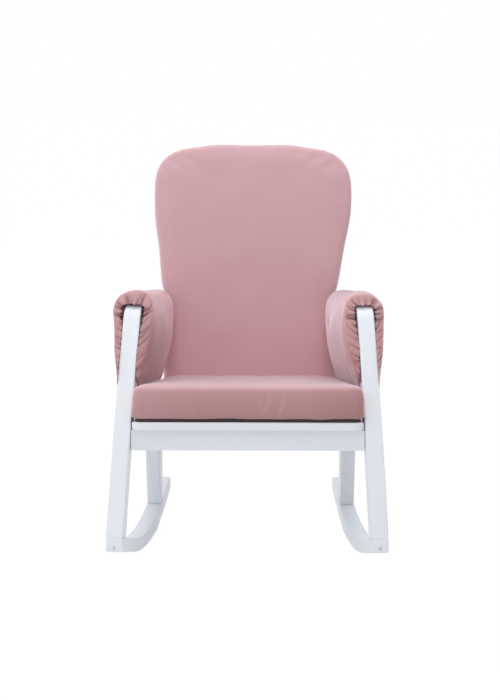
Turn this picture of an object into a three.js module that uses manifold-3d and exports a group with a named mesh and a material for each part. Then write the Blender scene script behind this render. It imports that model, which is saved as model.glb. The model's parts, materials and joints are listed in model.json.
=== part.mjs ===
// A nursery rocking chair: two timber side frames on curved runners, a plywood seat with a
// loose velvet cushion, two padded arm covers and a tall upholstered back.
//
// Frame: +X is the sitter's left, -Y the front, +Z up. The origin is the middle of the
// chair's box, on the floor. Sizes are millimetres and angles are degrees.

import * as THREE from "three";
import { mergeVertices } from "three/addons/utils/BufferGeometryUtils.js";
import Module from "manifold-3d";

// Side frames: each stands on its own upright plane, and the two planes close in to the rear.
const frameHalfSpacing = 315; // from the chair's middle to a frame's middle plane, at the nose
const frameToeAngle = 5.75;
const timberWidth = 42;
const jointGap = 0.3; // between glued or bolted faces

// Rocker: an arc under the chair with a straight run at each end.
const rockerRadius = 900; // of the running edge
const rockerDepth = 34;
const rockerFrontStraight = 170; // the front straight reaches this far behind the nose
const rockerFrontAngle = 14.279; // its slope, which the arc takes over
const rockerArcPastLeg = 66; // the arc ends this far behind the rear leg's front edge
const rockerTailPastLeg = 179;
const rockerRestShare = 0.395; // the chair's resting flat, of the arc behind its lowest point
const rockerNoseRound = 9;
const rockerArcSteps = 9;
const rockerFrontSteps = 5;
const rockerRearSteps = 2;

// Front leg and arm: one bent lamination.
const legDepth = 44;
const legFootAngle = 22.5;
const legTopAngle = 33.5;
const legRise = 491; // from the foot's front edge to the start of the bend
const legArcSteps = 7;
const armBendRadius = 64; // of its outer face
const armBendSteps = 7;
const armSlopeAngle = 7;
const armPastBolt = 20.8; // the arm ends this far behind the bolt that holds the back

// Rear leg
const rearLegWidth = 37;
const rearLegSetForward = 3.35; // the foot's front edge, in front of the board's rear edge
const rearLegAngle = 8;
const rearLegFootDepth = 36;
const rearLegTopDepth = 70;
const rearLegFootDrop = 0.7; // the foot is cut this far clear of the curved runner

// Side rail, between the front and the rear leg
const sideRailDepth = 62;
const sideRailWidth = 32;
const sideRailSetDown = 1; // below the seat board's upper face

// Edges of the timber
const arrisRadius = 3.5;
const arrisSteps = 2;

// Seat board and rails, on one sloping seat plane
const seatAngle = 7;
const boardSetForward = 32.1; // the board's front edge, in front of the legs' front faces
const seatHeight = 367.6; // the board's upper face at its front edge
const boardThickness = 20;
const boardLength = 490;
const boardCornerRadius = 28;
const boardRearCorner = 12;
const boardSideGap = 2; // from the board to the legs' inner faces
const railThickness = 22;
const railDepth = 49;
const railEndGap = 0.9; // a rail's ends to the legs' inner faces
const frontRailSetBack = 24; // behind the board's front edge
const rearRailInset = 28; // its front face, in front of the board's rear edge
const cleatWidth = 20;
const cleatDepth = 20;
const cleatEndGap = 8; // from the cleats' ends to the rails

// Seat cushion
const cushionBaseThickness = 8;
const cushionBaseInset = 9;
const cushionThickness = 80;
const cushionCrown = 9;
const cushionSideGap = 4; // to the legs' inner faces
const cushionFrontLip = 5; // how far it stands in front of the board
const cushionFrontCorner = 26;
const cushionRearCorner = 20;
const cushionEdgeRadius = 15;
const cushionDraw = 3; // how far its sides pull in between the corners
const cushionBelly = 1.5; // how far its border swells at its middle
const cushionBackGap = 3;

// Back: everything is measured on the back's front face, which starts on the line named here.
const backFootRise = 80.1; // and above the board's upper face there
const backAngle = 18;
const backBelow = 76; // the upholstery reaches this far below that line
const backArmGap = 3.5; // its narrowest place to the arms' inner faces
const backWaistBelowBolt = 2.5; // the narrowest place, below the arms' bolts
const backFootFlare = 7; // how much wider each side is at the foot than where the arms pass
const backArmsFlare = 17; // and just above the arms
const backArmsAboveWaist = 66;
const backHalfWidthShoulder = 266.5;
const backShoulderRise = 510;
const backHeight = 640;
const backTopHalfFlat = 120;
const backTopArch = 2; // how far the top edge rises to its middle
const backCornerPull = 88; // how far the shoulder's curve keeps rising before it turns in
const backFootCorner = 22;
const backPadDepth = 34; // foam in front of the back's timber frame
const backBorderDepth = 62; // the padded border, front to rear
const backEdgeRadius = 15;
const backCrown = 10;
const backBelly = 1.5; // how far the border swells at its middle
const backRearThickness = 7;
const backRearInset = 5;

// Back frame: timber in a pocket of the upholstery
const stileWidth = 28;
const stileInset = 20; // a stile's outer face, inside the back's narrowest place
const stileFoot = 140; // how far the stiles reach below the back's starting line
const stileTop = 560;
const backRailDepth = 45;
const backMiddleRailRise = 240;
const pocketGap = 2;
const supportRailDepth = 40;
const supportRailThickness = 23.5;
const supportRailTop = 98; // below the back's starting line
const supportRailSetForward = 15; // its lower front edge, in front of the board's rear edge

// Arm pads: a padded cover round each arm, hanging down both sides of it
const padFoamOnTop = 32;
const padHang = 10.5; // the cover hangs this far below the seat cushion's upper edge
const padInnerBulge = 50; // widest point to the frame's middle plane, towards the seat
const padOuterBulge = 46.5;
const padWidestShare = 0.72; // of the height, from the bottom
const padInnerBottomShare = 0.4; // of the bulge, left at the bottom
const padOuterBottomShare = 0.48;
const padTopRoundShare = 2.7; // 2 makes the top elliptical, more makes it squarer
const padBottomRound = 16;
const padLegSetBack = 8; // the pad's front face behind the leg's front face
const padBackGap = 5;
const padEndRound = 14;
const padFit = 0.8; // between the pad and the timber inside it

// Fasteners
const boltRadius = 3;
const boltHeadRadius = 6.5;
const boltHeadDepth = 5;
const boltRecess = 1; // how far a head lies below the face
const boltFit = 0.4; // all round a bolt in its hole
const armBoltStileShare = 0.8; // how far the arm bolt enters a stile
const frontBoltLegShare = 0.66; // where the front runner bolt meets the leg's foot
const noseScrewShare = 0.7; // down the nose
const bolt70 = 70;
const bolt60 = 60;
const bolt45 = 45;
const screwRadius = 1.8;
const screwHeadRadius = 3.6;
const screwHeadDepth = 2.6;
const noseScrewLength = 18;
const nutRadius = 5;
const nutLength = 16;
const dowelRadius = 5;
const dowelHalfLength = 20;
const spacerRadius = 8;
const roundSteps = 12;
const overrun = 4; // cutters reach this far past the faces they cut

const degrees = THREE.MathUtils.DEG2RAD;
const toe = frameToeAngle * degrees;
const slope = seatAngle * degrees;
const recline = backAngle * degrees;

const wasm = await Module();
wasm.setup();

// Solids

function solidOf(geometry) {
  const bare = geometry.clone();
  bare.deleteAttribute("normal");
  bare.deleteAttribute("uv");
  const merged = mergeVertices(bare, 1e-4);
  return new wasm.Manifold(
    new wasm.Mesh({
      numProp: 3,
      vertProperties: merged.attributes.position.array,
      triVerts: new Uint32Array(merged.index.array),
    }),
  );
}

function geometryOf(solid) {
  const mesh = solid.getMesh();
  return new THREE.BufferGeometry()
    .setAttribute("position", new THREE.BufferAttribute(mesh.vertProperties, 3))
    .setIndex(new THREE.BufferAttribute(mesh.triVerts, 1));
}

function cut(geometry, cutters) {
  let solid = solidOf(geometry);
  for (const cutter of cutters) solid = solid.subtract(solidOf(cutter));
  return geometryOf(solid);
}

// Outlines in a plane, as [across, up] points

// Even steps from a to b, with both ends.
const steps = (a, b, count) =>
  Array.from({ length: count + 1 }, (_, i) => a + ((b - a) * i) / count);
const plus = ([a, b], [c, d]) => [a + c, b + d];
const times = ([a, b], k) => [a * k, b * k];

// Where a line from p along d meets a line from q along e.
function crossing(p, d, q, e) {
  const cross = d[0] * e[1] - d[1] * e[0];
  const t = ((q[0] - p[0]) * e[1] - (q[1] - p[1]) * e[0]) / cross;
  return plus(p, times(d, t));
}

// An extrusion of an outline, centred on zero in depth, with rounded long edges.
function plate(points, depth, arris = arrisRadius) {
  const shape = new THREE.Shape(points.map(([a, b]) => new THREE.Vector2(a, b)));
  const geometry = new THREE.ExtrudeGeometry(shape, {
    depth: depth - 2 * arris,
    bevelEnabled: arris > 0,
    bevelThickness: arris,
    bevelSize: arris,
    bevelOffset: -arris,
    bevelSegments: arrisSteps,
    steps: 1,
  });
  return geometry.translate(0, 0, arris - depth / 2);
}

// Outline (behind, up) extruded along X: the third axis of the plate becomes X.
const alongX = (geometry) =>
  geometry.applyMatrix4(new THREE.Matrix4().makeBasis(
    new THREE.Vector3(0, 1, 0),
    new THREE.Vector3(0, 0, 1),
    new THREE.Vector3(1, 0, 0),
  ));

// Side frame: "behind" runs along the frame from the nose, "up" from the floor

const rockerLowest = rockerFrontStraight + rockerRadius * Math.sin(rockerFrontAngle * degrees);
const rockerInner = rockerRadius - rockerDepth;
const arcPoint = (radius, behind) => {
  const along = ((behind - rockerLowest) * radius) / rockerRadius;
  return [rockerLowest + along, rockerRadius - Math.sqrt(radius ** 2 - along ** 2)];
};
const arcDirection = (behind) => {
  const angle = Math.asin((behind - rockerLowest) / rockerRadius);
  return [Math.cos(angle), Math.sin(angle)];
};
const runnerTop = (behind) =>
  rockerRadius - Math.sqrt(rockerInner ** 2 - (behind - rockerLowest) ** 2);
const upward = ([a, b]) => [-b, a];

// The foot of the front leg stands on the front straight, flush with the nose.
const frontRun = arcDirection(rockerFrontStraight);
const runTop = arcPoint(rockerInner, rockerFrontStraight);
const footFront = crossing(runTop, frontRun, [0, 0], [0, 1]);
const footStart = plus(footFront, [0, jointGap]);

// The front face of the leg: its lean grows evenly from the foot to the bend.
const sinFoot = Math.sin(legFootAngle * degrees);
const sinTop = Math.sin(legTopAngle * degrees);
const legRadius = legRise / (sinTop - sinFoot);
function legFace(up) {
  const height = Math.min(up - footStart[1], legRise);
  const lean = Math.asin(sinFoot + height / legRadius);
  const behind = footStart[0] + legRadius * (Math.cos(legFootAngle * degrees) - Math.cos(lean));
  const past = up - footStart[1] - height;
  return { lean, behind: behind + past * Math.tan(lean) };
}
const bendStart = [legFace(footStart[1] + legRise).behind, footStart[1] + legRise];
const bendCentre = plus(bendStart, [
  armBendRadius * Math.cos(legTopAngle * degrees),
  -armBendRadius * sinTop,
]);
const armAngle = armSlopeAngle * degrees;
const armTop = (behind) =>
  bendCentre[1] + armBendRadius / Math.cos(armAngle) - (behind - bendCentre[0]) * Math.tan(armAngle);

// The seat hangs on the front legs, and the rear leg and the back follow the board's rear edge.
const frameCos = Math.cos(toe);
const seatFront = legFace(seatHeight).behind * frameCos - boardSetForward;
const boardRear = seatFront + boardLength * Math.cos(slope);
const boardRearHeight = seatHeight - boardLength * Math.sin(slope);
const rearRailPlace = boardLength - rearRailInset;
const backFoot = boardRear - supportRailSetForward
  + (supportRailTop + supportRailDepth) * Math.sin(recline);
const backFootHeight = boardRearHeight + backFootRise;
const rearLegFront = boardRear - rearLegSetForward;

// Half the clear width between the side frames, at a place behind the nose.
const innerHalfWidth = (behind, width = timberWidth) =>
  frameHalfSpacing - width / 2 / frameCos - behind * Math.tan(toe);

const sideMatrix = new THREE.Matrix4()
  .makeRotationZ(toe)
  .setPosition(frameHalfSpacing, 0, 0);
const seatMatrix = new THREE.Matrix4()
  .makeRotationX(-slope)
  .setPosition(0, seatFront, seatHeight);
const backMatrix = new THREE.Matrix4()
  .makeRotationX(-recline)
  .setPosition(0, backFoot, backFootHeight);

const into = (matrix) => matrix.clone().invert();
const moved = (point, ...matrices) => {
  const v = new THREE.Vector3(...point);
  for (const matrix of matrices) v.applyMatrix4(matrix);
  return v.toArray();
};
const shifted = (geometry, ...matrices) => {
  for (const matrix of matrices) geometry.applyMatrix4(matrix);
  return geometry;
};

// An arm's bolt crosses the arm's middle in the middle of the back's timber. The back is
// narrowest just below it, and its stiles stand inside that place.
const stileThickness = backBorderDepth - backPadDepth - jointGap;
const stileMiddleDepth = backPadDepth + stileThickness / 2;
function crossingAt(across) {
  const at = (rise) => {
    const place = moved([across, stileMiddleDepth, rise], backMatrix, into(sideMatrix));
    const middle = armTop(place[1]) - legDepth / 2 / Math.cos(armAngle);
    return { place, rise, above: middle - place[2] };
  };
  const start = at(0);
  const perRise = (start.above - at(backHeight).above) / backHeight;
  return at(start.above / perRise);
}
const backWaistRise = crossingAt(frameHalfSpacing).rise - backWaistBelowBolt;
const backArmsRise = backWaistRise + backArmsAboveWaist;
const waistRear = moved([0, backBorderDepth, backWaistRise], backMatrix)[1];
const backHalfWidthWaist = innerHalfWidth(waistRear) - backArmGap;
const backHalfWidthFoot = backHalfWidthWaist + backFootFlare;
const backHalfWidthArms = backHalfWidthWaist + backArmsFlare;
const stileOuter = backHalfWidthWaist - stileInset;
const stileMiddle = stileOuter - stileWidth / 2;
const armBolt = crossingAt(stileMiddle);
const armRearEnd = armBolt.place[1] + armPastBolt;

// Rocker: the arc runs on behind the rear leg and ends in a straight tail.
const rockerRearArcEnd = rearLegFront + rockerArcPastLeg;
const rockerTail = rearLegFront + rockerTailPastLeg;
const rearRun = arcDirection(rockerRearArcEnd);
const rockerRestEnd = rockerLowest + (rockerRearArcEnd - rockerLowest) * rockerRestShare;

// A rounded corner: `back` and `on` run from the corner along its two sides.
const roundShare = 1 - Math.SQRT1_2;
const softCorner = (corner, back, on, round) => [
  plus(corner, times(back, round)),
  plus(corner, times(plus(back, on), round * roundShare)),
  plus(corner, times(on, round)),
];

function rockerOutline() {
  const along = arcPoint(rockerRadius, rockerFrontStraight);
  const noseEdge = crossing(footFront, upward(frontRun), along, frontRun);
  const tailTop = crossing(
    arcPoint(rockerInner, rockerRearArcEnd), rearRun, [rockerTail, 0], upward(rearRun),
  );
  const tailEdge = plus(tailTop, times(upward(rearRun), -rockerDepth));
  const restTurn = 2 * Math.atan((rockerRestEnd - rockerLowest) / rockerRadius);
  const arcAgain = rockerLowest + rockerRadius * Math.sin(restTurn);
  const under = (behind) => arcPoint(rockerRadius, behind);
  return [
    ...softCorner(noseEdge, upward(frontRun), frontRun, rockerNoseRound),
    ...steps(rockerFrontStraight, rockerLowest, rockerFrontSteps).map(under),
    [rockerRestEnd, 0],
    ...steps(arcAgain, rockerRearArcEnd, rockerRearSteps).map(under),
    ...softCorner(tailEdge, times(rearRun, -1), upward(rearRun), rockerNoseRound),
    tailTop,
    ...steps(rockerRearArcEnd, rockerFrontStraight, rockerArcSteps)
      .map((behind) => arcPoint(rockerInner, behind)),
    footFront,
  ];
}

// The outline runs up the leg's rear face and back down its front face. `grow` widens it.
function legArmOutline(grow = 0) {
  const outer = [];
  const inner = [];
  const add = ([a, b], lean) => {
    const forward = [-Math.cos(lean), Math.sin(lean)];
    outer.push(plus([a, b], times(forward, grow)));
    inner.push(plus([a, b], times(forward, -legDepth - grow)));
  };
  for (const up of steps(footStart[1], bendStart[1], legArcSteps)) {
    const { lean, behind } = legFace(up);
    add([behind, up], lean);
  }
  const endLean = Math.PI / 2 + armAngle;
  for (const lean of steps(legTopAngle * degrees, endLean, armBendSteps).slice(1)) {
    const out = [-armBendRadius * Math.cos(lean), armBendRadius * Math.sin(lean)];
    add(plus(bendCentre, out), lean);
  }
  const end = armRearEnd + grow;
  add([end, armTop(end)], endLean);
  // the foot is cut along the runner
  const { lean } = legFace(footStart[1]);
  const down = [Math.sin(lean), Math.cos(lean)];
  const foot = plus(footStart, [0, -grow]);
  inner[0] = crossing(inner[0], down, foot, frontRun);
  outer[0] = crossing(outer[0], down, foot, frontRun);
  return [...inner, ...outer.reverse()];
}

// Rear leg: tapered, its front face leaning forward to the top.
const rearLean = rearLegAngle * degrees;
const rearFootUp = runnerTop(rearLegFront) + rearLegFootDrop;
const rearFace = (up) => rearLegFront - (up - rearFootUp) * Math.tan(rearLean);

// The seat plane, in frame terms: a point's height on the board's upper face.
const seatPlane = (behind) =>
  seatHeight - (behind * frameCos - seatFront) * Math.tan(slope);
const railDirection = [Math.cos(slope), -Math.sin(slope)];
const sideRailTop = [seatFront, seatPlane(seatFront) - sideRailSetDown];

function rearLegOutline() {
  const toeRear = rearLegFront + rearLegFootDepth;
  const topFront = crossing(
    [rearLegFront, rearFootUp], [-Math.sin(rearLean), Math.cos(rearLean)], sideRailTop, railDirection,
  );
  const topRear = plus(topFront, times(railDirection, rearLegTopDepth));
  return [
    [rearLegFront, rearFootUp],
    [toeRear, runnerTop(toeRear) + rearLegFootDrop],
    topRear,
    topFront,
  ];
}

function sideRailOutline(grow = 0) {
  const low = plus(sideRailTop, times(upward(railDirection), -sideRailDepth));
  const { lean } = legFace(sideRailTop[1]);
  const legLine = [Math.sin(lean), Math.cos(lean)];
  const legRear = [legFace(sideRailTop[1]).behind + legDepth / 2 / Math.cos(lean), sideRailTop[1]];
  const rearLine = [-Math.sin(rearLean), Math.cos(rearLean)];
  const rearFront = [rearFace(rearFootUp) - jointGap + grow, rearFootUp];
  return [
    crossing(low, railDirection, legRear, legLine),
    crossing(low, railDirection, rearFront, rearLine),
    crossing(sideRailTop, railDirection, rearFront, rearLine),
    crossing(sideRailTop, railDirection, legRear, legLine),
  ];
}

// Fasteners, each along its own axis from its head

function lathe(profile, sides = roundSteps) {
  return new THREE.LatheGeometry(profile.map(([r, y]) => new THREE.Vector2(r, y)), sides);
}

// Turned about +Y and pointing along -Y; placed with its head's outer face at `at`.
function aim(geometry, at, towards) {
  const turn = new THREE.Quaternion().setFromUnitVectors(
    new THREE.Vector3(0, -1, 0),
    new THREE.Vector3(...towards).normalize(),
  );
  return geometry.applyQuaternion(turn).translate(...at);
}

const boltShape = (length) => lathe([
  [0, -length],
  [boltRadius, -length],
  [boltRadius, -boltHeadDepth],
  [boltHeadRadius, -boltHeadDepth],
  [boltHeadRadius, 0],
  [0, 0],
]);
const boltHole = (length) => lathe([
  [0, -length - boltFit],
  [boltRadius + boltFit, -length - boltFit],
  [boltRadius + boltFit, -boltHeadDepth - boltFit],
  [boltHeadRadius + boltFit, -boltHeadDepth - boltFit],
  [boltHeadRadius + boltFit, overrun],
  [0, overrun],
]);
const screwShape = () => lathe([
  [0, -noseScrewLength],
  [screwRadius, -noseScrewLength + screwRadius],
  [screwRadius, -screwHeadDepth],
  [screwHeadRadius, 0],
  [0, 0],
]);
const screwHole = () => lathe([
  [0, -noseScrewLength - boltFit],
  [screwRadius + boltFit, -noseScrewLength - boltFit],
  [screwRadius + boltFit, -screwHeadDepth - boltFit],
  [screwHeadRadius + boltFit, -boltFit],
  [screwHeadRadius + boltFit, overrun],
  [0, overrun],
]);
const rod = (radius, length) => lathe([[0, -length], [radius, -length], [radius, 0], [0, 0]]);

// Soft forms

// A closed pad over an outline: rings from the middle of its lower face, round its border
// and up over its crown. `place` takes a point of the outline's plane and a level.
function pad({ outline, centre, thickness, edge, crown, belly, place }) {
  const n = outline.length;
  const inset = (k, amount) => {
    const [ax, ay] = outline[(k + n - 1) % n];
    const [bx, by] = outline[(k + 1) % n];
    const long = Math.hypot(bx - ax, by - ay);
    return [outline[k][0] - ((by - ay) / long) * amount, outline[k][1] + ((bx - ax) / long) * amount];
  };
  const rings = [];
  const ring = (amount, share, level) => rings.push({ amount, share, level });
  const quarterSteps = 3;
  ring(edge, 0.5, 0);
  for (let i = 0; i <= quarterSteps; i++) {
    const angle = ((Math.PI / 2) * i) / quarterSteps;
    ring(edge * (1 - Math.sin(angle)), 1, edge * (1 - Math.cos(angle)));
  }
  ring(-belly, 1, thickness / 2);
  for (let i = 0; i <= quarterSteps; i++) {
    const angle = ((Math.PI / 2) * i) / quarterSteps;
    ring(edge * (1 - Math.cos(angle)), 1, thickness - edge * (1 - Math.sin(angle)));
  }
  const crownShares = [0.86, 0.66, 0.44, 0.22];
  for (const share of crownShares) ring(edge, share, thickness + crown * (1 - share ** 2));
  const positions = [];
  const push = (x, y, level) => positions.push(...place(x, y, level));
  for (const { amount, share, level } of rings) {
    for (let k = 0; k < n; k++) {
      const [x, y] = inset(k, amount);
      push(centre[0] + (x - centre[0]) * share, centre[1] + (y - centre[1]) * share, level);
    }
  }
  push(centre[0], centre[1], 0);
  push(centre[0], centre[1], thickness + crown);
  const index = [];
  const lower = rings.length * n;
  const upper = lower + 1;
  for (let k = 0; k < n; k++) {
    const next = (k + 1) % n;
    index.push(lower, next, k);
    const last = (rings.length - 1) * n;
    index.push(upper, last + k, last + next);
    for (let r = 0; r + 1 < rings.length; r++) {
      const a = r * n;
      const b = a + n;
      index.push(a + k, a + next, b + next, a + k, b + next, b + k);
    }
  }
  return new THREE.BufferGeometry()
    .setAttribute("position", new THREE.Float32BufferAttribute(positions, 3))
    .setIndex(index);
}

// Outline with round corners, counter-clockwise. Each side has a few points between its
// corners and pulls in by `draw` at its middle.
function roundedOutline(corners, radii, draw = 0, perSide = 6, perCorner = 4) {
  const count = corners.length;
  const unit = (from, to) => {
    const long = Math.hypot(to[0] - from[0], to[1] - from[1]);
    return [(to[0] - from[0]) / long, (to[1] - from[1]) / long];
  };
  const bends = corners.map((corner, i) => {
    const back = unit(corner, corners[(i + count - 1) % count]);
    const on = unit(corner, corners[(i + 1) % count]);
    const half = Math.acos(back[0] * on[0] + back[1] * on[1]) / 2;
    const reach = radii[i] / Math.tan(half);
    const centre = plus(corner, times(unit([0, 0], plus(back, on)), radii[i] / Math.sin(half)));
    const start = plus(corner, times(back, reach));
    return { on, half, centre, start, leave: plus(corner, times(on, reach)) };
  });
  const points = [];
  bends.forEach(({ on, half, centre, start, leave }, i) => {
    const from = Math.atan2(start[1] - centre[1], start[0] - centre[0]);
    for (const turn of steps(0, Math.PI - 2 * half, perCorner)) {
      const arm = [radii[i] * Math.cos(from + turn), radii[i] * Math.sin(from + turn)];
      points.push(plus(centre, arm));
    }
    const stop = bends[(i + 1) % count].start;
    for (const share of steps(0, 1, perSide).slice(1, -1)) {
      const inward = times(upward(on), 4 * draw * share * (1 - share));
      points.push(plus(plus(times(leave, 1 - share), times(stop, share)), inward));
    }
  });
  return points;
}

function mirrored(geometry) {
  const copy = geometry.index ? geometry.toNonIndexed() : geometry.clone();
  copy.scale(-1, 1, 1);
  const { array } = copy.getAttribute("position");
  for (let i = 0; i < array.length; i += 9) {
    for (let k = 0; k < 3; k++) {
      [array[i + 3 + k], array[i + 6 + k]] = [array[i + 6 + k], array[i + 3 + k]];
    }
  }
  return copy;
}

// Bolts: `at` is the head's middle and `towards` the way in, both in the group named.

const frontRailMiddle = [
  innerHalfWidth(seatFront + frontRailSetBack),
  frontRailSetBack + railThickness / 2,
  -boardThickness - railDepth / 2,
];
const rearRailMiddle = [
  innerHalfWidth(seatFront + rearRailPlace, rearLegWidth),
  rearRailPlace + railThickness / 2,
  -boardThickness - railDepth / 2,
];
const supportRailFront = backPadDepth - jointGap - supportRailThickness;
const supportRise = -supportRailTop - supportRailDepth / 2;
const supportRailMiddle = [
  innerHalfWidth(backFoot, rearLegWidth),
  supportRailFront + supportRailThickness / 2,
  supportRise,
];
const armBoltLength =
  timberWidth + (innerHalfWidth(armBolt.place[1]) - stileOuter) + stileWidth * armBoltStileShare;

const inward = [-1, 0, 0];
const onSide = (point) => moved(point, seatMatrix, into(sideMatrix));
const outerFace = timberWidth / 2 - boltRecess;
const legOuterFace = rearLegWidth / 2 - boltRecess;
const underNose = crossing(
  plus(footFront, times(frontRun, legDepth * frontBoltLegShare)), upward(frontRun),
  arcPoint(rockerRadius, rockerFrontStraight), frontRun,
);
const rearBoltBehind = rearLegFront + rearLegFootDepth / 2;
const noseFaceScrew = plus(footFront, times(upward(frontRun), -rockerDepth * noseScrewShare));
const sideBolts = {
  runner_bolt_front: {
    at: [0, ...plus(underNose, times(upward(frontRun), boltRecess))],
    towards: [0, ...upward(frontRun)],
    length: bolt70,
  },
  runner_bolt_rear: {
    at: [0, ...plus(arcPoint(rockerRadius, rearBoltBehind), times(upward(arcDirection(rearBoltBehind)), boltRecess))],
    towards: [0, ...upward(arcDirection(rearBoltBehind))],
    length: bolt60,
  },
  front_rail_bolt: {
    at: [outerFace, ...onSide(frontRailMiddle).slice(1)],
    towards: inward,
    length: bolt70,
  },
  rear_rail_bolt: {
    at: [legOuterFace, ...onSide(rearRailMiddle).slice(1)],
    towards: inward,
    length: bolt70,
  },
  support_rail_bolt: {
    at: [legOuterFace, ...moved(supportRailMiddle, backMatrix, into(sideMatrix)).slice(1)],
    towards: inward,
    length: bolt70,
  },
  arm_bolt: {
    at: [outerFace, armBolt.place[1], armBolt.place[2]],
    towards: inward,
    length: armBoltLength,
  },
};
const sideHole = (name) => {
  const { at, towards, length } = sideBolts[name];
  return aim(boltHole(length), at, towards);
};
// the same hole on both sides, in another group
const holesIn = (matrix, name) => {
  const hole = shifted(sideHole(name), sideMatrix);
  return [shifted(hole.clone(), into(matrix)), shifted(mirrored(hole), into(matrix))];
};
const backBolt = {
  at: [stileMiddle, backPadDepth + stileThickness - boltRecess, supportRise],
  towards: [0, -1, 0],
  length: bolt45,
};
const backHole = () => aim(boltHole(backBolt.length), backBolt.at, backBolt.towards);

// Barrel nuts stand upright in the rails, on the bolts' axes
const nutBack = bolt70 - nutRadius - 2 * boltFit;
const nutAt = (name) => {
  const { at } = sideBolts[name];
  return moved([at[0] - nutBack, at[1], at[2]], sideMatrix, into(seatMatrix));
};
const nutShape = (name) =>
  rod(nutRadius, nutLength).rotateX(Math.PI / 2).translate(0, 0, nutLength / 2).translate(...nutAt(name));
const nutHole = (name) =>
  rod(nutRadius + boltFit, nutLength / 2 + railDepth)
    .rotateX(Math.PI / 2)
    .translate(0, 0, nutLength / 2 + boltFit)
    .translate(...nutAt(name));

// Side frame pieces, for the sitter's left; the right ones are their mirror images

const screwAt = [0, ...plus(noseFaceScrew, times(frontRun, boltFit))];
const screwTowards = [0, ...frontRun];

function dowelSpecs() {
  const low = plus(sideRailTop, times(upward(railDirection), -sideRailDepth / 2));
  const { lean } = legFace(sideRailTop[1]);
  const legRear = [legFace(sideRailTop[1]).behind + legDepth / Math.cos(lean), sideRailTop[1]];
  const front = crossing(low, railDirection, legRear, [Math.sin(lean), Math.cos(lean)]);
  const rear = crossing(
    low, railDirection, [rearLegFront, rearFootUp], [-Math.sin(rearLean), Math.cos(rearLean)],
  );
  return { side_rail_dowel_front: front, side_rail_dowel_rear: rear };
}
const dowels = dowelSpecs();
const dowelRod = (name, grow) =>
  aim(
    rod(dowelRadius + grow, 2 * (dowelHalfLength + grow)),
    [0, ...plus(dowels[name], times(railDirection, -dowelHalfLength - grow))],
    [0, ...railDirection],
  );

const timber = (outline, width) => alongX(plate(outline, width));

const legArm = cut(timber(legArmOutline(), timberWidth), [
  sideHole("runner_bolt_front"),
  sideHole("front_rail_bolt"),
  sideHole("arm_bolt"),
  dowelRod("side_rail_dowel_front", boltFit),
]);
const rocker = cut(timber(rockerOutline(), timberWidth), [
  sideHole("runner_bolt_front"),
  sideHole("runner_bolt_rear"),
  aim(screwHole(), screwAt, screwTowards),
]);
const rearLeg = cut(timber(rearLegOutline(), rearLegWidth), [
  sideHole("runner_bolt_rear"),
  sideHole("rear_rail_bolt"),
  sideHole("support_rail_bolt"),
  dowelRod("side_rail_dowel_rear", boltFit),
]);
// flush with the legs' inner faces; its front end follows the curve of the front leg
const sideRailAcross = (sideRailWidth - timberWidth) / 2;
const sideRail = cut(timber(sideRailOutline(), sideRailWidth).translate(sideRailAcross, 0, 0), [
  alongX(plate(legArmOutline(jointGap), timberWidth + 2 * overrun, 0)),
  dowelRod("side_rail_dowel_front", boltFit),
  dowelRod("side_rail_dowel_rear", boltFit),
]);

// Cleat: a batten along the side rail's inner face that carries the board's edge.
function cleatGeometry() {
  const under = plus(
    sideRailTop, times(upward(railDirection), sideRailSetDown - boardThickness - 2 * jointGap),
  );
  const start = frontRailSetBack + railThickness + cleatEndGap;
  const stop = rearRailPlace - cleatEndGap;
  const across = -timberWidth / 2 - jointGap - cleatWidth / 2;
  const legRear = legFace(sideRailTop[1]).behind + legDepth / Math.cos(legFace(sideRailTop[1]).lean);
  const from = Math.max(start, legRear - seatFront);
  const point = (along, down) =>
    plus(plus(under, times(railDirection, along)), times(upward(railDirection), -down));
  const outline = [
    point(from, cleatDepth), point(stop, cleatDepth), point(stop, 0), point(from, 0),
  ];
  return alongX(plate(outline, cleatWidth, 0)).translate(across, 0, 0);
}

// The padded cover of an arm. Heights run from its lower edge, parallel with the arm.
const padMiddleBehind = bendStart[0];
const padHeight = armTop(padMiddleBehind) + padFoamOnTop + padHang
  - (seatPlane(padMiddleBehind) + cushionBaseThickness + cushionThickness);
const padBottom = (behind) => armTop(behind) + padFoamOnTop - padHeight;
const padFront = (up) => legFace(up).behind + padLegSetBack;
const padRear = (up) =>
  (backFoot + (up - backFootHeight) * Math.tan(recline) - padBackGap) / frameCos;
const padWidest = padHeight * padWidestShare;

function padHalfWidth(height, bulge, bottomShare) {
  if (height >= padWidest) {
    const share = (height - padWidest) / (padHeight - padWidest);
    return bulge * Math.max(0, 1 - share ** padTopRoundShare) ** (1 / padTopRoundShare);
  }
  const swell = Math.sin((Math.PI / 2) * (height / padWidest));
  const width = bulge * (bottomShare + (1 - bottomShare) * swell);
  const below = Math.max(0, 1 - height / padBottomRound);
  return width * Math.sqrt(1 - below ** 2);
}

function padSection() {
  const heights = [];
  const roundSteps = 3;
  const sideSteps = 5;
  const topSteps = 5;
  for (let i = 1; i <= roundSteps; i++) {
    heights.push(padBottomRound * (1 - Math.cos(((Math.PI / 2) * i) / roundSteps)));
  }
  for (let i = 1; i <= sideSteps; i++) {
    heights.push(padBottomRound + ((padWidest - padBottomRound) * i) / sideSteps);
  }
  for (let i = 1; i < topSteps; i++) {
    heights.push(padWidest + (padHeight - padWidest) * Math.sin(((Math.PI / 2) * i) / topSteps));
  }
  const outer = heights.map((h) => [padHalfWidth(h, padOuterBulge, padOuterBottomShare), h]);
  const inner = heights
    .map((h) => [-padHalfWidth(h, padInnerBulge, padInnerBottomShare), h])
    .reverse();
  return [[0, 0], ...outer, [0, padHeight], ...inner];
}

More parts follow.
